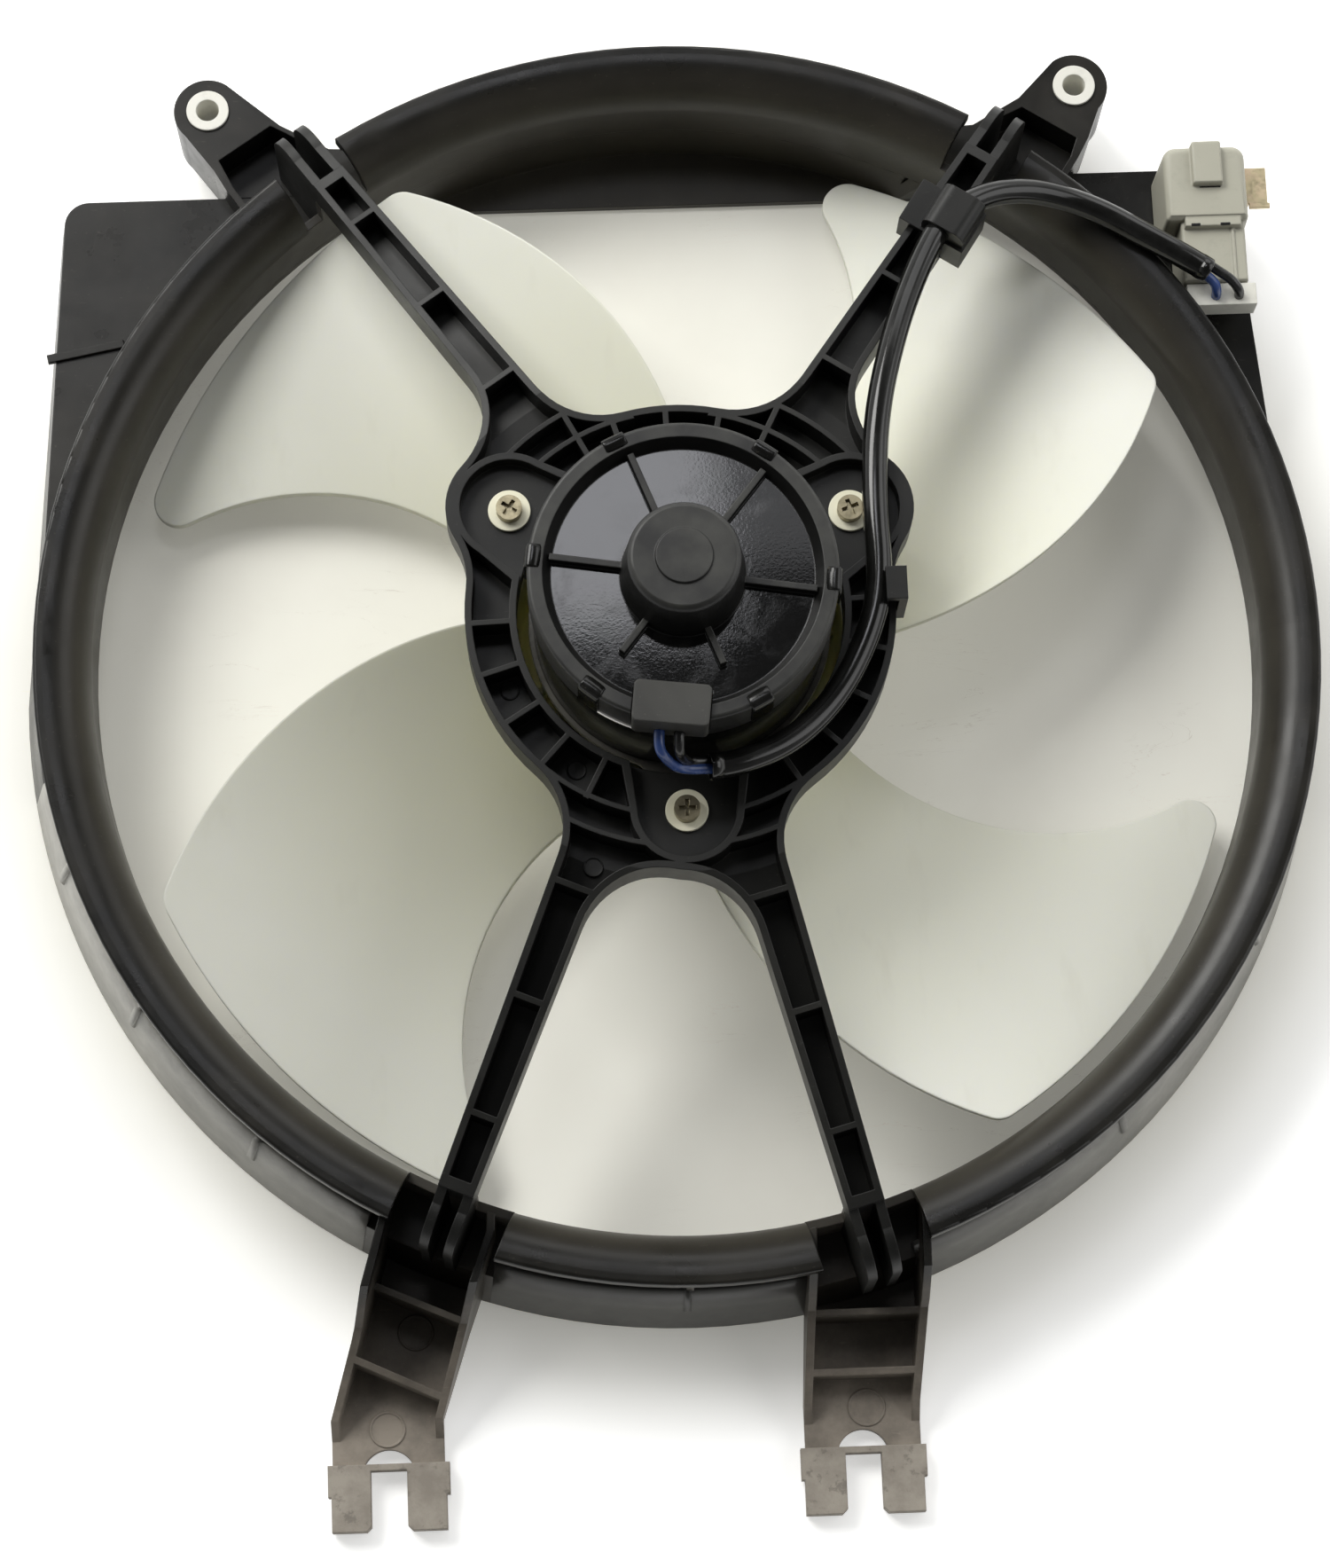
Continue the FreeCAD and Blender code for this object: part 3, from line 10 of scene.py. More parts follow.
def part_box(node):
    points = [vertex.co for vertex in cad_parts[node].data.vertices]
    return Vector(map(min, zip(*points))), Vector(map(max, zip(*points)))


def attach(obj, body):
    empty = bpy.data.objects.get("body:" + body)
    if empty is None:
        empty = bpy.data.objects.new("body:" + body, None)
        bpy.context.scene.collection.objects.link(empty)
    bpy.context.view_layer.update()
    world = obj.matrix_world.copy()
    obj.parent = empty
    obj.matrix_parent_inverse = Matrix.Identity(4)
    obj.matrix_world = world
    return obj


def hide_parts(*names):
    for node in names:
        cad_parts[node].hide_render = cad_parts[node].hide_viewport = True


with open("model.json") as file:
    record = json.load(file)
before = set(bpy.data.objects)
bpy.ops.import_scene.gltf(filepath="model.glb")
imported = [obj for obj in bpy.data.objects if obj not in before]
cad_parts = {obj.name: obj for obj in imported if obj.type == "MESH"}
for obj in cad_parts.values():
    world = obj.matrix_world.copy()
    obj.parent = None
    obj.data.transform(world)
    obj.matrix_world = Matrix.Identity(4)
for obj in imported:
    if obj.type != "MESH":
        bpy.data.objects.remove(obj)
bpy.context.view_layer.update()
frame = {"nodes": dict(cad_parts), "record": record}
nodes = frame["nodes"]
slot_of = {part["node"]: part["material_slot"] for part in frame["record"]["subparts"]}
MM = 0.001

CAMERA_LENS_MM = 97.74
SENSOR_WIDTH_MM = 36
CAMERA_PLACE = Matrix((
    (0.999124, 0.033403, -0.025216, -0.0342),
    (-0.038595, 0.968396, -0.246412, -0.3233),
    (0.016188, 0.24717, 0.968837, 1.1607),
    (0, 0, 0, 1)))

# The room's level by height, from the horizon to straight up. By depth it is dim at the front and
# rises to full at the back.
ROOM_LEVELS = ((0.0, 1.0), (0.28, 0.95), (0.52, 0.55), (0.78, 0.20), (1.0, 0.10))
ROOM_WARMTH = 0.985
FRONT_TO_BACK = (-0.8, 0.4)
DIM_TO_FULL = (0.22, 1.0)

TABLE_HALF = 4.0
TABLE_DROP = 0.0003


# ------------------------------------------------------------------ camera, light and table

def make_camera():
    data = bpy.data.cameras.new("camera")
    data.lens = CAMERA_LENS_MM
    data.sensor_width = SENSOR_WIDTH_MM
    data.clip_end = 20
    camera = bpy.data.objects.new("camera", data)
    bpy.context.scene.collection.objects.link(camera)
    camera.matrix_world = CAMERA_PLACE
    bpy.context.scene.camera = camera


def softbox(name, place, target, size, power, colour=(1, 1, 1)):
    data = bpy.data.lights.new(name, "AREA")
    data.shape = "RECTANGLE"
    data.size, data.size_y = size
    data.energy = power
    data.color = colour
    lamp = bpy.data.objects.new(name, data)
    bpy.context.scene.collection.objects.link(lamp)
    lamp.location = place
    lamp.rotation_euler = (Vector(target) - Vector(place)).to_track_quat("-Z", "Y").to_euler()


def make_light():
    """A room that is pale at the sides and dim overhead, with softboxes left, right and behind."""
    world = bpy.data.worlds.new("studio")
    bpy.context.scene.world = world
    world.use_nodes = True
    tree = world.node_tree
    background = tree.nodes["Background"]
    place = tree.nodes.new("ShaderNodeTexCoord")
    split = tree.nodes.new("ShaderNodeSeparateXYZ")
    ramp = tree.nodes.new("ShaderNodeValToRGB")
    tree.links.new(place.outputs["Generated"], split.inputs[0])
    tree.links.new(split.outputs["Z"], ramp.inputs["Fac"])
    front = tree.nodes.new("ShaderNodeMapRange")
    for index, number in enumerate((*FRONT_TO_BACK, *DIM_TO_FULL), 1):
        front.inputs[index].default_value = number
    tree.links.new(split.outputs["Y"], front.inputs[0])
    dim = tree.nodes.new("ShaderNodeMix")
    dim.data_type = "RGBA"
    dim.inputs[6].default_value = (0, 0, 0, 1)
    tree.links.new(front.outputs[0], dim.inputs[0])
    tree.links.new(ramp.outputs["Color"], dim.inputs[7])
    tree.links.new(dim.outputs[2], background.inputs["Color"])
    elements = ramp.color_ramp.elements
    while len(elements) < len(ROOM_LEVELS):
        elements.new(0.5)
    for element, (position, level) in zip(elements, ROOM_LEVELS):
        element.position = position
        element.color = (level, level, level * ROOM_WARMTH, 1)
    background.inputs["Strength"].default_value = 1.0
    softbox("key", (-1.00, 1.05, 1.55), (0, 0, 0), (1.2, 0.9), 34, (1.0, 0.995, 0.97))
    softbox("fill_right", (1.5, 0.1, 1.2), (0, 0, 0), (1.4, 1.0), 8)
    softbox("back", (0.5, 1.7, 1.2), (0, 0, 0), (1.8, 1.0), 10)
    softbox("ceiling_left", (-0.075, 0.44, 1.30), (-0.075, 0.44, 0), (0.27, 0.21), 1.05,
            (0.94, 0.95, 1.0))
    softbox("ceiling_right", (0.15, 0.47, 1.30), (0.15, 0.47, 0), (0.18, 0.20), 0.15,
            (0.95, 0.96, 1.0))


def make_table():
    """The pale board that the part lies on, just under its lowest face."""
    corners = [(x * TABLE_HALF, y * TABLE_HALF, -TABLE_DROP)
               for x, y in ((-1, -1), (1, -1), (1, 1), (-1, 1))]
    mesh = bpy.data.meshes.new("table")
    mesh.from_pydata(corners, [], [(0, 1, 2, 3)])
    table = bpy.data.objects.new("table", mesh)
    bpy.context.scene.collection.objects.link(table)
    mesh.materials.append(table_look("table"))


# ------------------------------------------------------------------ finishes

class Finish:
    """A material built from nodes in object coordinates, in metres."""

    def __init__(self, name):
        self.material = bpy.data.materials.new(name)
        self.material.use_nodes = True
        self.tree = self.material.node_tree
        self.shader = self.tree.nodes["Principled BSDF"]
        self.place = self.add("ShaderNodeTexCoord").outputs["Object"]

    def add(self, kind, **settings):
        node = self.tree.nodes.new(kind)
        for key, value in settings.items():
            setattr(node, key, value)
        return node

    def feed(self, value, socket):
        if isinstance(value, bpy.types.NodeSocket):
            self.tree.links.new(value, socket)
        elif isinstance(value, tuple):
            socket.default_value = (*value, 1) if len(value) == 3 else value
        else:
            socket.default_value = value

    def set(self, **values):
        for name, value in values.items():
            self.feed(value, self.shader.inputs[name.replace("_", " ")])

    def noise(self, size, detail=3.0, rough=0.55, stretch=None, warp=0.0):
        """Noise with features of about that size in metres."""
        node = self.add("ShaderNodeTexNoise")
        node.inputs["Scale"].default_value = 1 / size
        node.inputs["Detail"].default_value = detail
        node.inputs["Roughness"].default_value = rough
        node.inputs["Distortion"].default_value = warp
        source = self.place
        if stretch:
            mapping = self.add("ShaderNodeMapping")
            mapping.inputs["Scale"].default_value = stretch[:3]
            mapping.inputs["Rotation"].default_value = (0, 0, math.radians(stretch[3]))
            self.feed(source, mapping.inputs["Vector"])
            source = mapping.outputs["Vector"]
        self.feed(source, node.inputs["Vector"])
        return node.outputs["Fac"]

    def span(self, value, low, high, start=0.0, end=1.0):
        node = self.add("ShaderNodeMapRange", clamp=True)
        for index, number in enumerate((low, high, start, end), 1):
            node.inputs[index].default_value = number
        self.feed(value, node.inputs[0])
        return node.outputs[0]

    def math(self, operation, one, other=0.0):
        node = self.add("ShaderNodeMath", operation=operation)
        self.feed(one, node.inputs[0])
        self.feed(other, node.inputs[1])
        return node.outputs[0]

    def mix(self, share, one, other):
        node = self.add("ShaderNodeMix", data_type="RGBA")
        self.feed(share, node.inputs[0])
        self.feed(one, node.inputs[6])
        self.feed(other, node.inputs[7])
        return node.outputs[2]

    def axis(self, letter):
        split = self.add("ShaderNodeSeparateXYZ")
        self.feed(self.place, split.inputs[0])
        return split.outputs[letter]

    def radius(self):
        """Distance from the fan axis."""
        flat = self.add("ShaderNodeVectorMath", operation="MULTIPLY")
        self.feed(self.place, flat.inputs[0])
        flat.inputs[1].default_value = (1, 1, 0)
        length = self.add("ShaderNodeVectorMath", operation="LENGTH")
        self.feed(flat.outputs[0], length.inputs[0])
        return length.outputs["Value"]

    def upward(self):
        """1 on surfaces that face up, 0 on walls."""
        split = self.add("ShaderNodeSeparateXYZ")
        self.feed(self.add("ShaderNodeNewGeometry").outputs["Normal"], split.inputs[0])
        return self.span(split.outputs["Z"], 0.55, 0.95)

    def relief(self, height, depth, strength=0.5, edge=0.0):
        """Bump of that depth in metres, over edges rounded to a small radius."""
        bump = self.add("ShaderNodeBump")
        bump.inputs["Strength"].default_value = strength
        bump.inputs["Distance"].default_value = depth
        self.feed(height, bump.inputs["Height"])
        if edge:
            bevel = self.add("ShaderNodeBevel", samples=6)
            bevel.inputs["Radius"].default_value = edge
            self.feed(bevel.outputs["Normal"], bump.inputs["Normal"])
        self.feed(bump.outputs["Normal"], self.shader.inputs["Normal"])


def moulding(name, base, dust_and_reflection_tone, dustiness, rough=(0.30, 0.52), grain=0.00003, feet_dust_and_throat_reflection=0.0,
             edge=0.0005, level=0.5):
    """Black moulded plastic with a fine grain, handling scuffs and a dusty road film on top of it;
    on the ring a brownish tint in the throat is a painted reflection of the table.
    """
    look = Finish(name)
    cloudy = look.span(look.noise(0.055, 4, 0.6, warp=0.6), 0.40, 0.68)
    dust_and_reflection_film = look.math("MULTIPLY", cloudy, look.math("ADD", look.math(
        "MULTIPLY", look.upward(), 0.75), 0.25))
    dust_and_reflection_film = look.math("MULTIPLY", dust_and_reflection_film, dustiness)
    if feet_dust_and_throat_reflection:
        # Painted reflection: a brownish tint rising towards the inner edge of the ring's throat
        # stands in for the table reflected there.
        painted_throat_reflection = look.span(look.radius(), 0.1710, 0.1640, 0.0, 0.42)
        dust_and_reflection_film = look.math("MAXIMUM", dust_and_reflection_film, look.math("MULTIPLY", painted_throat_reflection, look.span(
            look.noise(0.030, 4, 0.6), 0.25, 0.60, 0.6, 1.0)))
        low = look.math("MULTIPLY", look.span(look.axis("Y"), -0.145, -0.205, 0.0, feet_dust_and_throat_reflection),
                        look.span(look.axis("Z"), 0.040, 0.032))
        patches = look.span(look.noise(0.012, 5, 0.65), 0.30, 0.62, 0.55, 1.0)
        soil = look.math("MULTIPLY", low, patches)
        dust_and_reflection_film = look.math("MAXIMUM", dust_and_reflection_film, soil)
        dust_and_reflection_tone = look.mix(low, dust_and_reflection_tone, (0.300, 0.262, 0.218))
    scuffs = look.span(look.noise(0.0022, 2, 0.7, stretch=(0.35, 2.2, 1.0, 32)), 0.69, 0.74)
    specks = look.span(look.noise(0.0011, 1, 0.5), 0.735, 0.76)
    marks = look.math("MULTIPLY", look.math("MAXIMUM", scuffs, specks), 0.35 * dustiness + 0.10)
    amount = look.math("MINIMUM", look.math("ADD", dust_and_reflection_film, marks), 1.0)
    tone = look.mix(look.noise(0.012, 3), tuple(v * 0.8 for v in base),
                    tuple(v * 1.25 for v in base))
    look.set(Base_Color=look.mix(amount, tone, dust_and_reflection_tone))
    sheen = look.span(look.noise(0.020, 4, 0.65), 0.3, 0.7, rough[0], rough[1])
    look.set(Roughness=look.math("ADD", sheen, look.math("MULTIPLY", amount, 0.25)))
    look.set(Specular_IOR_Level=level)
    look.relief(look.noise(0.0006, 2, 0.6), grain, 0.6, edge)
    return look.material


def rubber(name, base, pale):
    """A dull, mottled material such as rubber, ferrite or carbon, with grime in fine patches."""
    look = Finish(name)
    patches = look.span(look.noise(0.009, 4, 0.65), 0.35, 0.65)
    grime = look.span(look.noise(0.0035, 3, 0.7), 0.58, 0.68)
    tone = look.mix(patches, base, pale)
    look.set(Base_Color=look.mix(look.math("MULTIPLY", grime, 0.5), tone,
                                 tuple(v * 0.45 for v in base)))
    look.set(Roughness=look.span(patches, 0, 1, 0.62, 0.82))
    look.relief(look.noise(0.0009, 3, 0.7), 0.00012, 0.6, 0.0006)
    return look.material


def pale_plastic(name, base, shade, rough=(0.34, 0.5), edge=0.0005, soil=0.35):
    """Pale nylon, faintly mottled, with handling dirt."""
    look = Finish(name)
    cloud = look.noise(0.018, 3, 0.55)
    dirt = look.span(look.noise(0.006, 4, 0.7), 0.55, 0.78, 0.0, soil)
    look.set(Base_Color=look.mix(dirt, look.mix(cloud, base, shade),
                                 tuple(v * 0.55 for v in shade)))
    look.set(Roughness=look.span(look.noise(0.01, 3), 0.3, 0.7, rough[0], rough[1]))
    look.relief(look.noise(0.0008, 2), 0.00002, 0.5, edge)
    return look.material


def metal(name, base, dark, rough=(0.18, 0.4), grime=0.5, brushed=None, edge=0.0003):
    """Bright or plated metal with tarnish in patches."""
    look = Finish(name)
    stain = look.span(look.noise(0.004, 4, 0.7), 0.45, 0.72, 0.0, grime)
    look.set(Base_Color=look.mix(stain, base, dark), Metallic=1.0)
    fine = look.noise(0.0012, 3, 0.6, stretch=brushed)
    look.set(Roughness=look.math("ADD", look.span(fine, 0.3, 0.7, rough[0], rough[1]),
                                 look.math("MULTIPLY", stain, 0.3)))
    look.relief(fine, 0.00002, 0.4, edge)
    return look.material


def gloss(name, base, rough=(0.10, 0.2), worn=None, edge=0.0004, level=0.5, wave=0.0006):
    """Shiny enamel or PVC, lightly dulled in patches; `worn` shows through where it is rubbed."""
    look = Finish(name)
    dull = look.span(look.noise(0.010, 4, 0.65), 0.45, 0.75)
    tone = look.mix(dull, base, tuple(min(1.0, v * 1.5 + 0.006) for v in base))
    if worn:
        rub = look.span(look.noise(0.0028, 4, 0.75), 0.64, 0.69)
        tone = look.mix(rub, tone, worn)
    look.set(Base_Color=tone)
    look.set(Roughness=look.span(dull, 0, 1, rough[0], rough[1]))
    look.set(Specular_IOR_Level=level)
    look.relief(look.noise(0.006, 2), wave, 0.08, edge)
    return look.material


def fan_look(name):
    """Natural nylon, whiter and thinner towards the tips, yellowed near the hub."""
    look = Finish(name)
    out = look.span(look.radius(), 0.050, 0.135)
    cloud = look.span(look.noise(0.045, 3, 0.5), 0.3, 0.7)
    clean = look.mix(out, (0.84, 0.83, 0.64), (0.87, 0.87, 0.785))
    tone = look.mix(look.math("MULTIPLY", cloud, 0.45), clean, (0.81, 0.815, 0.70))
    streak = look.span(look.noise(0.010, 3, 0.6, stretch=(1.0, 0.25, 1.0, 20)), 0.60, 0.80, 0, 0.18)
    look.set(Base_Color=look.mix(streak, tone, (0.60, 0.58, 0.47)))
    look.set(Roughness=look.span(look.noise(0.02, 3), 0.3, 0.7, 0.36, 0.48))
    look.set(Subsurface_Weight=0.15, Subsurface_Scale=0.004, Transmission_Weight=0.12)
    look.shader.inputs["Subsurface Radius"].default_value = (1.0, 0.95, 0.6)
    look.relief(look.noise(0.025, 2), 0.0004, 0.10, 0.0008)
    return look.material


def cap_look(name):
    """The rear cap: a polished dish inside a satin rim and boss, with oily smears."""
    look = Finish(name)
    inside = look.span(look.radius(), 0.0345, 0.0340)
    low = look.span(look.axis("Z"), 0.1085, 0.1080)
    dish = look.math("MULTIPLY", inside, low)
    smear = look.span(look.noise(0.011, 4, 0.6, warp=0.8), 0.48, 0.72)
    satin = look.span(look.noise(0.006, 4, 0.7), 0.3, 0.7, 0.38, 0.52)
    shiny = look.span(smear, 0, 1, 0.055, 0.125)
    difference = look.math("SUBTRACT", shiny, satin)
    look.set(Roughness=look.math("ADD", satin, look.math("MULTIPLY", dish, difference)))
    dusty = look.math("MULTIPLY", look.upward(), look.span(look.noise(0.014, 4), 0.35, 0.7))
    dull = look.mix(dusty, (0.0040, 0.0040, 0.0036), (0.036, 0.036, 0.031))
    polished = look.mix(smear, (0.0025, 0.0025, 0.0025), (0.008, 0.008, 0.0072))
    look.set(Base_Color=look.mix(dish, dull, polished))
    look.relief(look.noise(0.0007, 2), 0.00002, 0.35, 0.0005)
    return look.material


def table_look(name):
    """White board, faintly marked close to the part and clean white away from it; inside the ring
    it is darker and warmer, a painted shade.
    """
    look = Finish(name)
    away = look.span(look.radius(), 0.175, 0.215)
    cloud = look.span(look.noise(0.070, 4, 0.6), 0.35, 0.7)
    # Painted shade: the board's colour is darker and warmer inside the ring, where the part shades
    # it; the thin lines are real marks.
    near = look.mix(cloud, (0.845, 0.835, 0.765), (0.80, 0.785, 0.715))
    hair = look.span(look.noise(0.030, 6, 0.62, stretch=(0.30, 1.5, 1, 55), warp=1.5),
                     0.4975, 0.5025)
    line = look.math("MULTIPLY", look.math("SUBTRACT", 1.0, look.math(
        "ABSOLUTE", look.math("SUBTRACT", look.math("MULTIPLY", hair, 2.0), 1.0))),
        look.span(look.noise(0.05, 2), 0.52, 0.62, 0.0, 0.28))
    shade_and_marks = look.mix(line, near, (0.36, 0.30, 0.24))
    colour = look.mix(away, shade_and_marks, (0.955, 0.955, 0.945))
    look.set(Base_Color=colour)
    look.set(Roughness=0.6, Specular_IOR_Level=0.15)
    # Camera and glossy rays see the board glow in its own colour, more weakly close to the part:
    # painted light that lifts the board and keeps the painted shade inside the ring.
    ray = look.add("ShaderNodeLightPath")
    seen = look.math("MAXIMUM", ray.outputs["Is Camera Ray"], ray.outputs["Is Glossy Ray"])
    look.set(Emission_Color=colour)
    look.set(Emission_Strength=look.math("MULTIPLY", seen, look.span(away, 0, 1, 0.20, 0.50)))
    return look.material


# Each material slot of the record and the function that makes its finish.
LOOKS = {
    "shroud_plastic": lambda n: moulding(n, (0.0062, 0.0060, 0.0052), (0.085, 0.076, 0.060),
                                         0.17, (0.23, 0.35), feet_dust_and_throat_reflection=1.0, level=0.30),
    "carrier_plastic": lambda n: moulding(n, (0.0060, 0.0060, 0.0053), (0.080, 0.078, 0.068),
                                          0.16, (0.36, 0.50), edge=0.0004, level=0.36),
    "clip_rubber": lambda n: rubber(n, (0.26, 0.230, 0.193), (0.37, 0.335, 0.285)),
    "white_nylon": lambda n: pale_plastic(n, (0.80, 0.80, 0.74), (0.70, 0.68, 0.60)),
    "motor_steel": lambda n: gloss(n, (0.0050, 0.0050, 0.0045), (0.14, 0.26), (0.055, 0.05, 0.04),
                                  level=0.3),
    "cap_plastic": cap_look,
    "zinc_steel": lambda n: metal(n, (0.14, 0.135, 0.12), (0.05, 0.045, 0.038), (0.38, 0.55), 0.35),
    "ivory_washer": lambda n: pale_plastic(n, (0.90, 0.88, 0.70), (0.82, 0.79, 0.60), soil=0.15),
    "zinc_screw": lambda n: metal(n, (0.34, 0.30, 0.20), (0.10, 0.088, 0.060), (0.28, 0.40),
                                  edge=0.00015),
    "ferrite": lambda n: rubber(n, (0.05, 0.05, 0.055), (0.09, 0.09, 0.10)),
    "brush_card_plastic": lambda n: rubber(n, (0.20, 0.12, 0.06), (0.28, 0.18, 0.09)),
    "carbon": lambda n: rubber(n, (0.03, 0.03, 0.03), (0.07, 0.06, 0.055)),
    "spring_steel": lambda n: metal(n, (0.50, 0.50, 0.50), (0.25, 0.22, 0.19)),
    "bearing_bronze": lambda n: metal(n, (0.55, 0.38, 0.18), (0.25, 0.15, 0.07)),
    "grommet_rubber": lambda n: moulding(n, (0.014, 0.0135, 0.012), (0.10, 0.10, 0.088), 0.42,
                                         (0.42, 0.6), 0.00005, edge=0.0007),
    "lead_blue": lambda n: gloss(n, (0.030, 0.062, 0.20), (0.22, 0.36), wave=0.0002),
    "lead_black": lambda n: gloss(n, (0.010, 0.010, 0.010), (0.22, 0.34), wave=0.0002),
    "sleeve_black": lambda n: gloss(n, (0.0050, 0.0050, 0.0045), (0.13, 0.20), level=0.45,
                                    wave=0.0002),
    "connector_grey": lambda n: pale_plastic(n, (0.44, 0.43, 0.355), (0.38, 0.37, 0.30),
                                             (0.40, 0.56), edge=0.0008, soil=0.25),
    "terminal_brass": lambda n: metal(n, (0.68, 0.52, 0.26), (0.34, 0.22, 0.10)),
    "yellow_zinc": lambda n: metal(n, (0.72, 0.62, 0.40), (0.62, 0.42, 0.36), (0.28, 0.45)),
    "fan_nylon": fan_look,
    "core_steel": lambda n: metal(n, (0.34, 0.33, 0.32), (0.20, 0.15, 0.11),
                                  brushed=(1, 1, 12, 0)),
    "copper_wire": lambda n: metal(n, (0.60, 0.26, 0.12), (0.32, 0.12, 0.06),
                                   brushed=(1, 1, 6, 0)),
}


def paint():
    finishes = {slot: look(slot) for slot, look in LOOKS.items()}
    for name, node in nodes.items():
        node.data.materials.clear()
        node.data.materials.append(finishes[slot_of[name]])
    return finishes


# ------------------------------------------------------------------ pieces

def mesh_piece(name, build, slot, body, smooth=True):
    """A mesh made by a bmesh function, finished, and riding on its body."""
    shape = bmesh.new()
    build(shape)
    bmesh.ops.recalc_face_normals(shape, faces=shape.faces)
    mesh = bpy.data.meshes.new(name)
    shape.to_mesh(mesh)
    shape.free()
    for face in mesh.polygons:
        face.use_smooth = smooth
    mesh.materials.append(finishes[slot])
    piece = bpy.data.objects.new(name, mesh)
    bpy.context.scene.collection.objects.link(piece)
    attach(piece, body)
    return piece


def bridge(shape, rings, closed=False):
    """Faces between each closed ring of points and the next, and from last to first if closed."""
    following_rings = rings[1:] + rings[:1] if closed else rings[1:]
    for one, other in zip(rings, following_rings):
        count = len(one)
        for index in range(count):
            following = (index + 1) % count
            shape.faces.new((one[index], one[following], other[following], other[index]))


def lathe(shape, section, middle=(0, 0, 0), steps=48):
    """Turn a closed (radius, height) outline about a vertical line through `middle`."""
    rings = []
    for step in range(steps):
        angle = 2 * math.pi * step / steps
        rings.append([shape.verts.new((middle[0] + r * math.cos(angle),
                                       middle[1] + r * math.sin(angle), middle[2] + z))
                      for r, z in section])
    bridge(shape, rings, closed=True)


def ejector_marks(name, slot, spots, radius):
    """The round witness marks that the mould's ejector pins leave in a channel floor."""
    disc, rim, foot = 0.12 * MM, 0.40 * MM, -0.3 * MM
    section = [(0.02 * radius, disc), (radius * 0.84, disc), (radius * 0.88, rim),
               (radius * 0.96, rim), (radius, 0.02 * MM), (radius, foot), (0.02 * radius, foot)]

    def build(shape):
        for x, y, z in spots:
            lathe(shape, section, (x * MM, y * MM, z * MM), 40)
    mesh_piece(name, build, slot, "shroud", smooth=False)


CRIMP_ANGLES = (-129, -62, -5, 55, 115, 172)
CRIMP_HALF_WIDTH = 3.1 * MM
CAP_RIM_TOP = 0.1118


def crimp_tabs():
    """Six tongues of the can, folded in over the rim of the rear cap."""
    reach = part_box("motor_end_cap")[1][0]
    top = CAP_RIM_TOP
    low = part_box("motor_can")[1][2]
    profile = [(reach - 0.1 * MM, low - 2 * MM), (reach + 0.75 * MM, low - 2 * MM),
               (reach + 0.75 * MM, top - 0.9 * MM), (reach + 0.45 * MM, top - 0.1 * MM),
               (reach - 0.2 * MM, top + 0.45 * MM), (reach - 1.1 * MM, top + 0.6 * MM),
               (reach - 3.4 * MM, top + 0.35 * MM), (reach - 3.4 * MM, top - 0.2 * MM),
               (reach - 1.0 * MM, top), (reach - 0.1 * MM, top - 0.9 * MM)]

    def build(shape):
        for angle in CRIMP_ANGLES:
            turn = Matrix.Rotation(math.radians(angle), 3, "Z")
            rows = []
            for share in (-1, -0.85, -0.4, 0, 0.4, 0.85, 1):
                pinch = 1 - 0.12 * abs(share) ** 6
                rows.append([shape.verts.new(turn @ Vector(
                    (reach + (r - reach) * pinch, share * CRIMP_HALF_WIDTH,
                     z if z < top - 1 * MM else top + (z - top) * pinch)))
                    for r, z in profile])
            bridge(shape, rows)
            shape.faces.new(rows[0])
            shape.faces.new(rows[-1][::-1])
    mesh_piece("crimp_tabs", build, "motor_steel", "shroud")


def painted_highlight_sliver():
    """A painted highlight: a sliver of bright bare steel on the can's lip below the cap, standing
    in for a lamp reflected along its edge.
    """
    radius, height = 40.7 * MM, 0.1000
    start, turn, steps = -131, 24, 24
    widest, tip = 0.75 * MM, 0.06

    def build(shape):
        rows = []
        for step in range(steps + 1):
            share = step / steps
            angle = math.radians(start + turn * share)
            width = widest * math.sin(math.pi * min(max(share, tip), 1 - tip)) ** 0.5
            rows.append([shape.verts.new((r * math.cos(angle), r * math.sin(angle), z))
                         for r, z in ((radius - 1.0 * MM, height - width),
                                      (radius + 0.25 * MM, height - width),
                                      (radius + 0.45 * MM, height),
                                      (radius + 0.1 * MM, height + width * 0.8),
                                      (radius - 1.0 * MM, height + width))])
        bridge(shape, rows)
        shape.faces.new(rows[0][::-1])
        shape.faces.new(rows[-1])
    piece = mesh_piece("painted_highlight_sliver", build, "motor_steel", "shroud")
    # The bright steel finish paints the highlight of the can's edge.
    piece.data.materials[0] = metal("highlight_steel", (0.86, 0.85, 0.82), (0.40, 0.37, 0.32),
                                    (0.25, 0.4))


def skirt_reflection_look(name):
    """The flared foot of the ring: black plastic under a pale painted reflection of the bright
    table, strongest towards the flanks.
    """
    look = Finish(name)
    side = look.span(look.math("ABSOLUTE", look.axis("X")), 0.050, 0.135, 0.10, 1.0)
    painted_reflection_patches = look.span(look.noise(0.035, 4, 0.6, warp=0.5), 0.25, 0.65, 0.55, 1.0)
    fine = look.span(look.noise(0.004, 3, 0.6), 0.3, 0.7, 0.8, 1.0)
    amount = look.math("MULTIPLY", look.math("MULTIPLY", side, painted_reflection_patches), fine)
    # Painted reflection: the pale colour stands in for the bright table mirrored in the flared
    # foot.
    look.set(Base_Color=look.mix(amount, (0.012, 0.0115, 0.010), (0.440, 0.430, 0.395)))
    look.set(Roughness=look.span(look.noise(0.020, 4, 0.65), 0.3, 0.7, 0.28, 0.42))
    look.relief(look.noise(0.0006, 2, 0.6), 0.00003, 0.6)
    return look.material


FLARE_ARCS = ((189, 240), (252, 280), (289.5, 346))
RIDGE_ANGLES = (197.5, 212, 228, 269.1, 311.5, 332.5)
RIDGE_HALF_ANGLE = 0.33
FLARE_STEP = 1.5
FLARE_SHIFT = -1.2


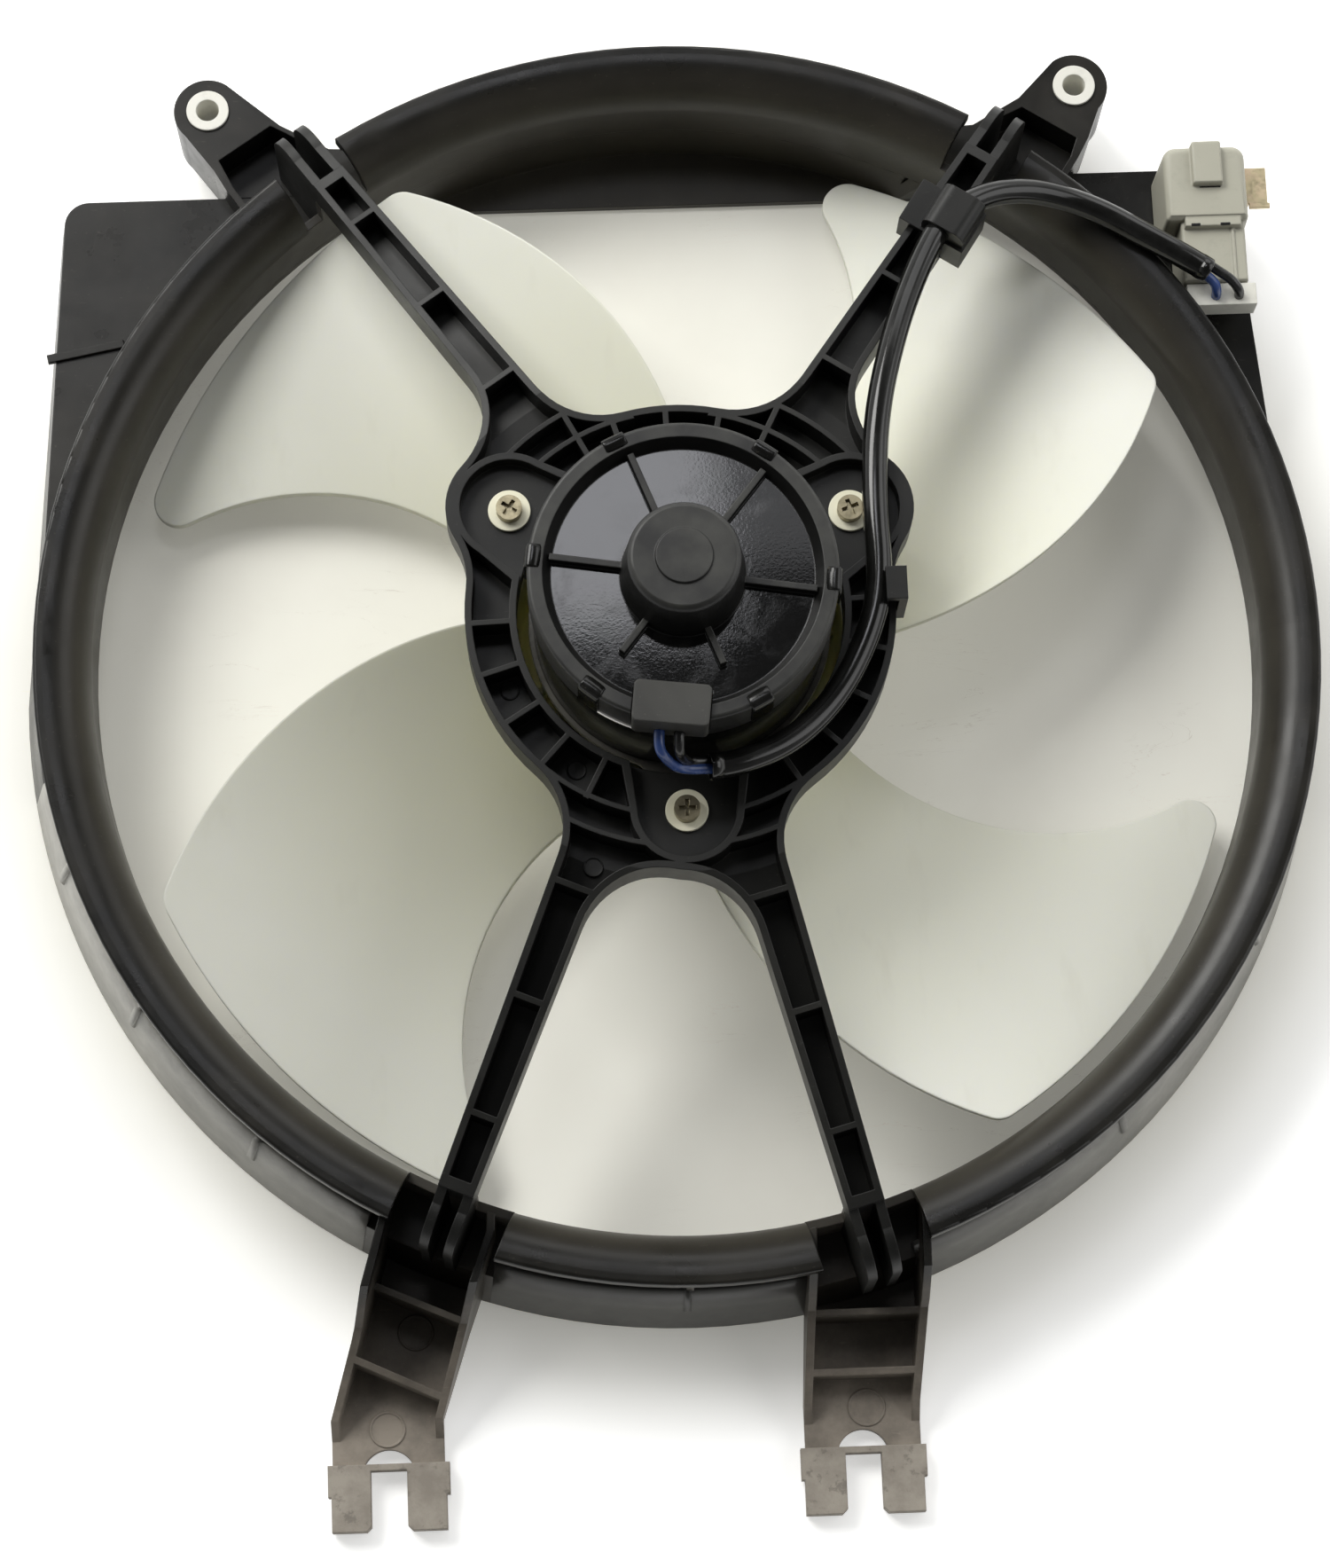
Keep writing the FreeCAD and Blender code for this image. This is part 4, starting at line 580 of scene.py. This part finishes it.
def skirt_flare():
    """The flared foot of the ring, from its ledge out to the radiator face, between the feet."""
    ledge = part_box("connector_bracket")[0][2] / MM
    section = [(173.4, ledge + 6.6), (174.0, ledge + 7.2), (174.8, ledge + 7.0),
               (177.1, ledge + 0.2), (181.28, 0.4), (180.0, 0.4), (173.4, ledge - 1)]
    ridge = [(173.6, ledge + 7.8), (175.3, ledge + 7.9), (179.0, ledge - 2.5),
             (178.6, ledge - 6.0), (173.6, ledge - 1)]

    def sweep(shape, outline, start, end, count):
        rows = []
        for step in range(count + 1):
            angle = math.radians(start + (end - start) * step / count)
            rows.append([shape.verts.new(((r * math.cos(angle) + FLARE_SHIFT) * MM,
                                          r * math.sin(angle) * MM, z * MM))
                         for r, z in outline])
        bridge(shape, rows)
        shape.faces.new(rows[0][::-1])
        shape.faces.new(rows[-1])

    def build(shape):
        for start, end in FLARE_ARCS:
            sweep(shape, section, start, end, int((end - start) / FLARE_STEP))
        for angle in RIDGE_ANGLES:
            sweep(shape, ridge, angle - RIDGE_HALF_ANGLE, angle + RIDGE_HALF_ANGLE, 2)
    piece = mesh_piece("skirt_flare", build, "shroud_plastic", "shroud")
    piece.data.materials[0] = skirt_reflection_look("skirt_painted_reflection")


def cord_curve(name, routes, radius, slot, node):
    """A round cord on smooth splines that stands for the plain one of the model."""
    data = bpy.data.curves.new(name, "CURVE")
    data.dimensions = "3D"
    data.resolution_u = 12
    data.bevel_depth = radius
    data.bevel_resolution = 8
    data.use_fill_caps = True
    for route in routes:
        spline = data.splines.new("NURBS")
        spline.points.add(len(route) - 1)
        for point, (x, y, z) in zip(spline.points, route):
            point.co = (x * MM, y * MM, z * MM, 1)
        spline.order_u = 3
        spline.use_endpoint_u = True
    data.materials.append(finishes[slot])
    piece = bpy.data.objects.new(name, data)
    bpy.context.scene.collection.objects.link(piece)
    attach(piece, "shroud")
    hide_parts(node)


def cord_mouth(name, end, inward, slot):
    """The open, cut end of a sleeve: a thin wall round a dark bore."""
    radius = SLEEVE_RADIUS
    axis = (Vector(inward) - Vector(end)).normalized()
    turn = axis.to_track_quat("Z", "Y").to_matrix().to_4x4()
    turn.translation = Vector(end) * MM

    def build(shape):
        lathe(shape, [(radius * 1.02, 3.0 * MM), (radius * 1.03, 0.1 * MM),
                      (radius * 0.98, -0.25 * MM), (radius * 0.88, -0.2 * MM),
                      (radius * 0.84, 0.1 * MM), (radius * 0.84, 3.0 * MM)], steps=40)
        bmesh.ops.transform(shape, matrix=turn, verts=shape.verts)
    mesh_piece(name, build, slot, "shroud")


def rounded_block(shape, corners, low, high, edge=0.5, draft=0.0, steps=6):
    """A prism on a rounded outline, in millimetres; its upper edge is rounded, its foot plain.

    Each corner is (x, y, radius). The walls lean in by `draft` towards the top.
    """
    def outline(inset):
        points = []
        count = len(corners)
        for index, (x, y, radius) in enumerate(corners):
            before = Vector(corners[index - 1][:2])
            after = Vector(corners[(index + 1) % count][:2])
            here = Vector((x, y))
            one, other = (before - here).normalized(), (after - here).normalized()
            half = one.angle(other) / 2
            bisector = (one + other).normalized()
            turning = one.x * other.y - one.y * other.x
            outer = turning < 0
            reach = max(radius - inset, 0.02) if outer else radius + inset
            centre = here + bisector * (radius / math.sin(half))
            sweep = math.pi - 2 * half
            middle = math.atan2(-bisector.y, -bisector.x)
            for step in range(steps + 1):
                angle = middle + (step / steps - 0.5) * (sweep if outer else -sweep)
                points.append(centre + reach * Vector((math.cos(angle), math.sin(angle))))
        return points

    layers = [(0.0, low), (draft, high - edge)]
    for step in range(1, 5):
        angle = step * math.pi / 8
        layers.append((draft + edge * (1 - math.cos(angle)), high - edge + edge * math.sin(angle)))
    rings = [[shape.verts.new((p.x * MM, p.y * MM, z * MM)) for p in outline(inset)]
             for inset, z in layers]
    bridge(shape, rings)
    shape.faces.new(rings[0][::-1])
    shape.faces.new(rings[-1])


def connector():
    """The two-way plug housing: a rounded head with its latch tab, and the wire seat below."""
    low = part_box("connector_bracket")[0][2] / MM + 1.2

    def build(shape):
        rounded_block(shape, [(141.8, 119.0, 1.6), (166.0, 119.0, 1.6), (166.0, 142.0, 4.2),
                              (141.8, 142.0, 4.2)], low, low + 22.3, 2.2, 0.5)
        rounded_block(shape, [(146.2, 101.3, 0.7), (164.6, 101.3, 0.7), (164.6, 120.0, 0.7),
                              (146.2, 120.0, 0.7)], low, low + 19.9, 0.9, 0.2)
        rounded_block(shape, [(147.2, 117.2, 0.4), (163.4, 117.2, 0.4), (163.4, 121.0, 0.4),
                              (147.2, 121.0, 0.4)], low + 19, low + 22.0, 0.5, 0.2)
        rounded_block(shape, [(150.0, 129.2, 0.5), (158.6, 129.2, 0.5), (158.6, 142.1, 0.9),
                              (150.0, 142.1, 0.9)], low + 20, low + 24.7, 0.6, 0.15)
        rounded_block(shape, [(160.2, 101.4, 0.4), (161.4, 101.4, 0.4), (161.4, 118.4, 0.4),
                              (160.2, 118.4, 0.4)], low + 19, low + 20.5, 0.4, 0.1)
    housing = mesh_piece("connector", build, "connector_grey", "shroud", smooth=False)
    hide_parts("connector_housing")

    def slots(shape):
        for left, right, bottom, top, height in ((149.0, 151.6, 117.5, 118.3, 22.02),
                                                 (157.2, 160.0, 117.5, 118.3, 22.02),
                                                 (152.0, 158.0, 128.75, 129.2, 22.32)):
            rounded_block(shape, [(left, bottom, 0.15), (right, bottom, 0.15),
                                  (right, top, 0.15), (left, top, 0.15)],
                          low + height - 0.6, low + height, 0.02, 0.0, 2)
    mesh_piece("connector_slots", slots, "lead_black", "shroud", smooth=False)


SLEEVE_RADIUS = 3.5 * MM
LEAD_RADIUS = 1.4 * MM
SLEEVE = [(5.6, -47, 91), (13, -46.2, 89.6), (27.7, -39.5, 85.5), (40, -27.2, 82),
          (48.8, -11.5, 81.2), (53.4, 4, 81.2), (52.6, 28, 81.6), (54.4, 52, 80.2),
          (61, 77, 76.2), (68.8, 97.2, 71), (76.6, 111.6, 67.8), (88, 120.4, 63.8),
          (101, 124, 57.8), (113, 123, 53), (124, 119, 50.8), (134, 112.8, 50.2),
          (144.2, 107, 49.2), (152, 102.8, 46.6)]
BLUE = [[(-7.63, -40.77, 105.5), (-8.19, -45.34, 105.5), (-5.7, -47.4, 100.6),
         (-2.8, -48.2, 95.2), (1.3, -47.9, 92.2), (6.8, -47.4, 90.9)],
        [(150.4, 102.1, 46.8), (153.97, 99.98, 45.7), (154.9, 97.6, 42.8), (154.9, 97.6, 40.2)]]
BLACK = [[(-2.47, -41.41, 105.5), (-3.03, -45.98, 105.5), (-1.6, -46.4, 97),
          (0.94, -45.94, 91.85), (6.4, -45.3, 90.8)],
         [(151.8, 104.9, 46.8), (155.44, 102.71, 45.7), (159.2, 100.2, 45.0),
          (161.4, 97.6, 42.8), (161.4, 97.6, 40.2)]]


def cords():
    """Smooth sleeve and leads, on the routes of the model."""
    near = Vector(SLEEVE[0]).lerp(Vector(SLEEVE[1]), 0.22)
    far = Vector(SLEEVE[-1]).lerp(Vector(SLEEVE[-2]), 0.18)
    route = [tuple(near), *SLEEVE[1:-1], tuple(far)]
    cord_curve("sleeve", [route], SLEEVE_RADIUS, "sleeve_black", "wire_sleeve")
    cord_mouth("sleeve_mouth_motor", SLEEVE[0], SLEEVE[1], "sleeve_black")
    cord_mouth("sleeve_mouth_plug", SLEEVE[-1], SLEEVE[-2], "sleeve_black")
    cord_curve("blue_lead", BLUE, LEAD_RADIUS, "lead_blue", "lead_blue")
    cord_curve("black_lead", BLACK, LEAD_RADIUS, "lead_black", "lead_black")


make_camera()
make_light()
make_table()
finishes = paint()
cords()
connector()
crimp_tabs()
painted_highlight_sliver()
skirt_flare()
ejector_marks("left_leg_marks", "shroud_plastic", [(-77.6, -180.4, 4.5), (-85.8, -206.2, 4.5)],
              5.0 * MM)
ejector_marks("right_leg_mark", "shroud_plastic", [(43.7, -205.0, 4.5)], 5.2 * MM)
ejector_marks("carrier_marks", "carrier_plastic",
              [(-46.1, -18.2, 67.2), (-29.1, -40.6, 67.2), (-25.5, -67.2, 67.2)], 2.7 * MM)

bpy.context.scene.view_settings.view_transform = "Standard"
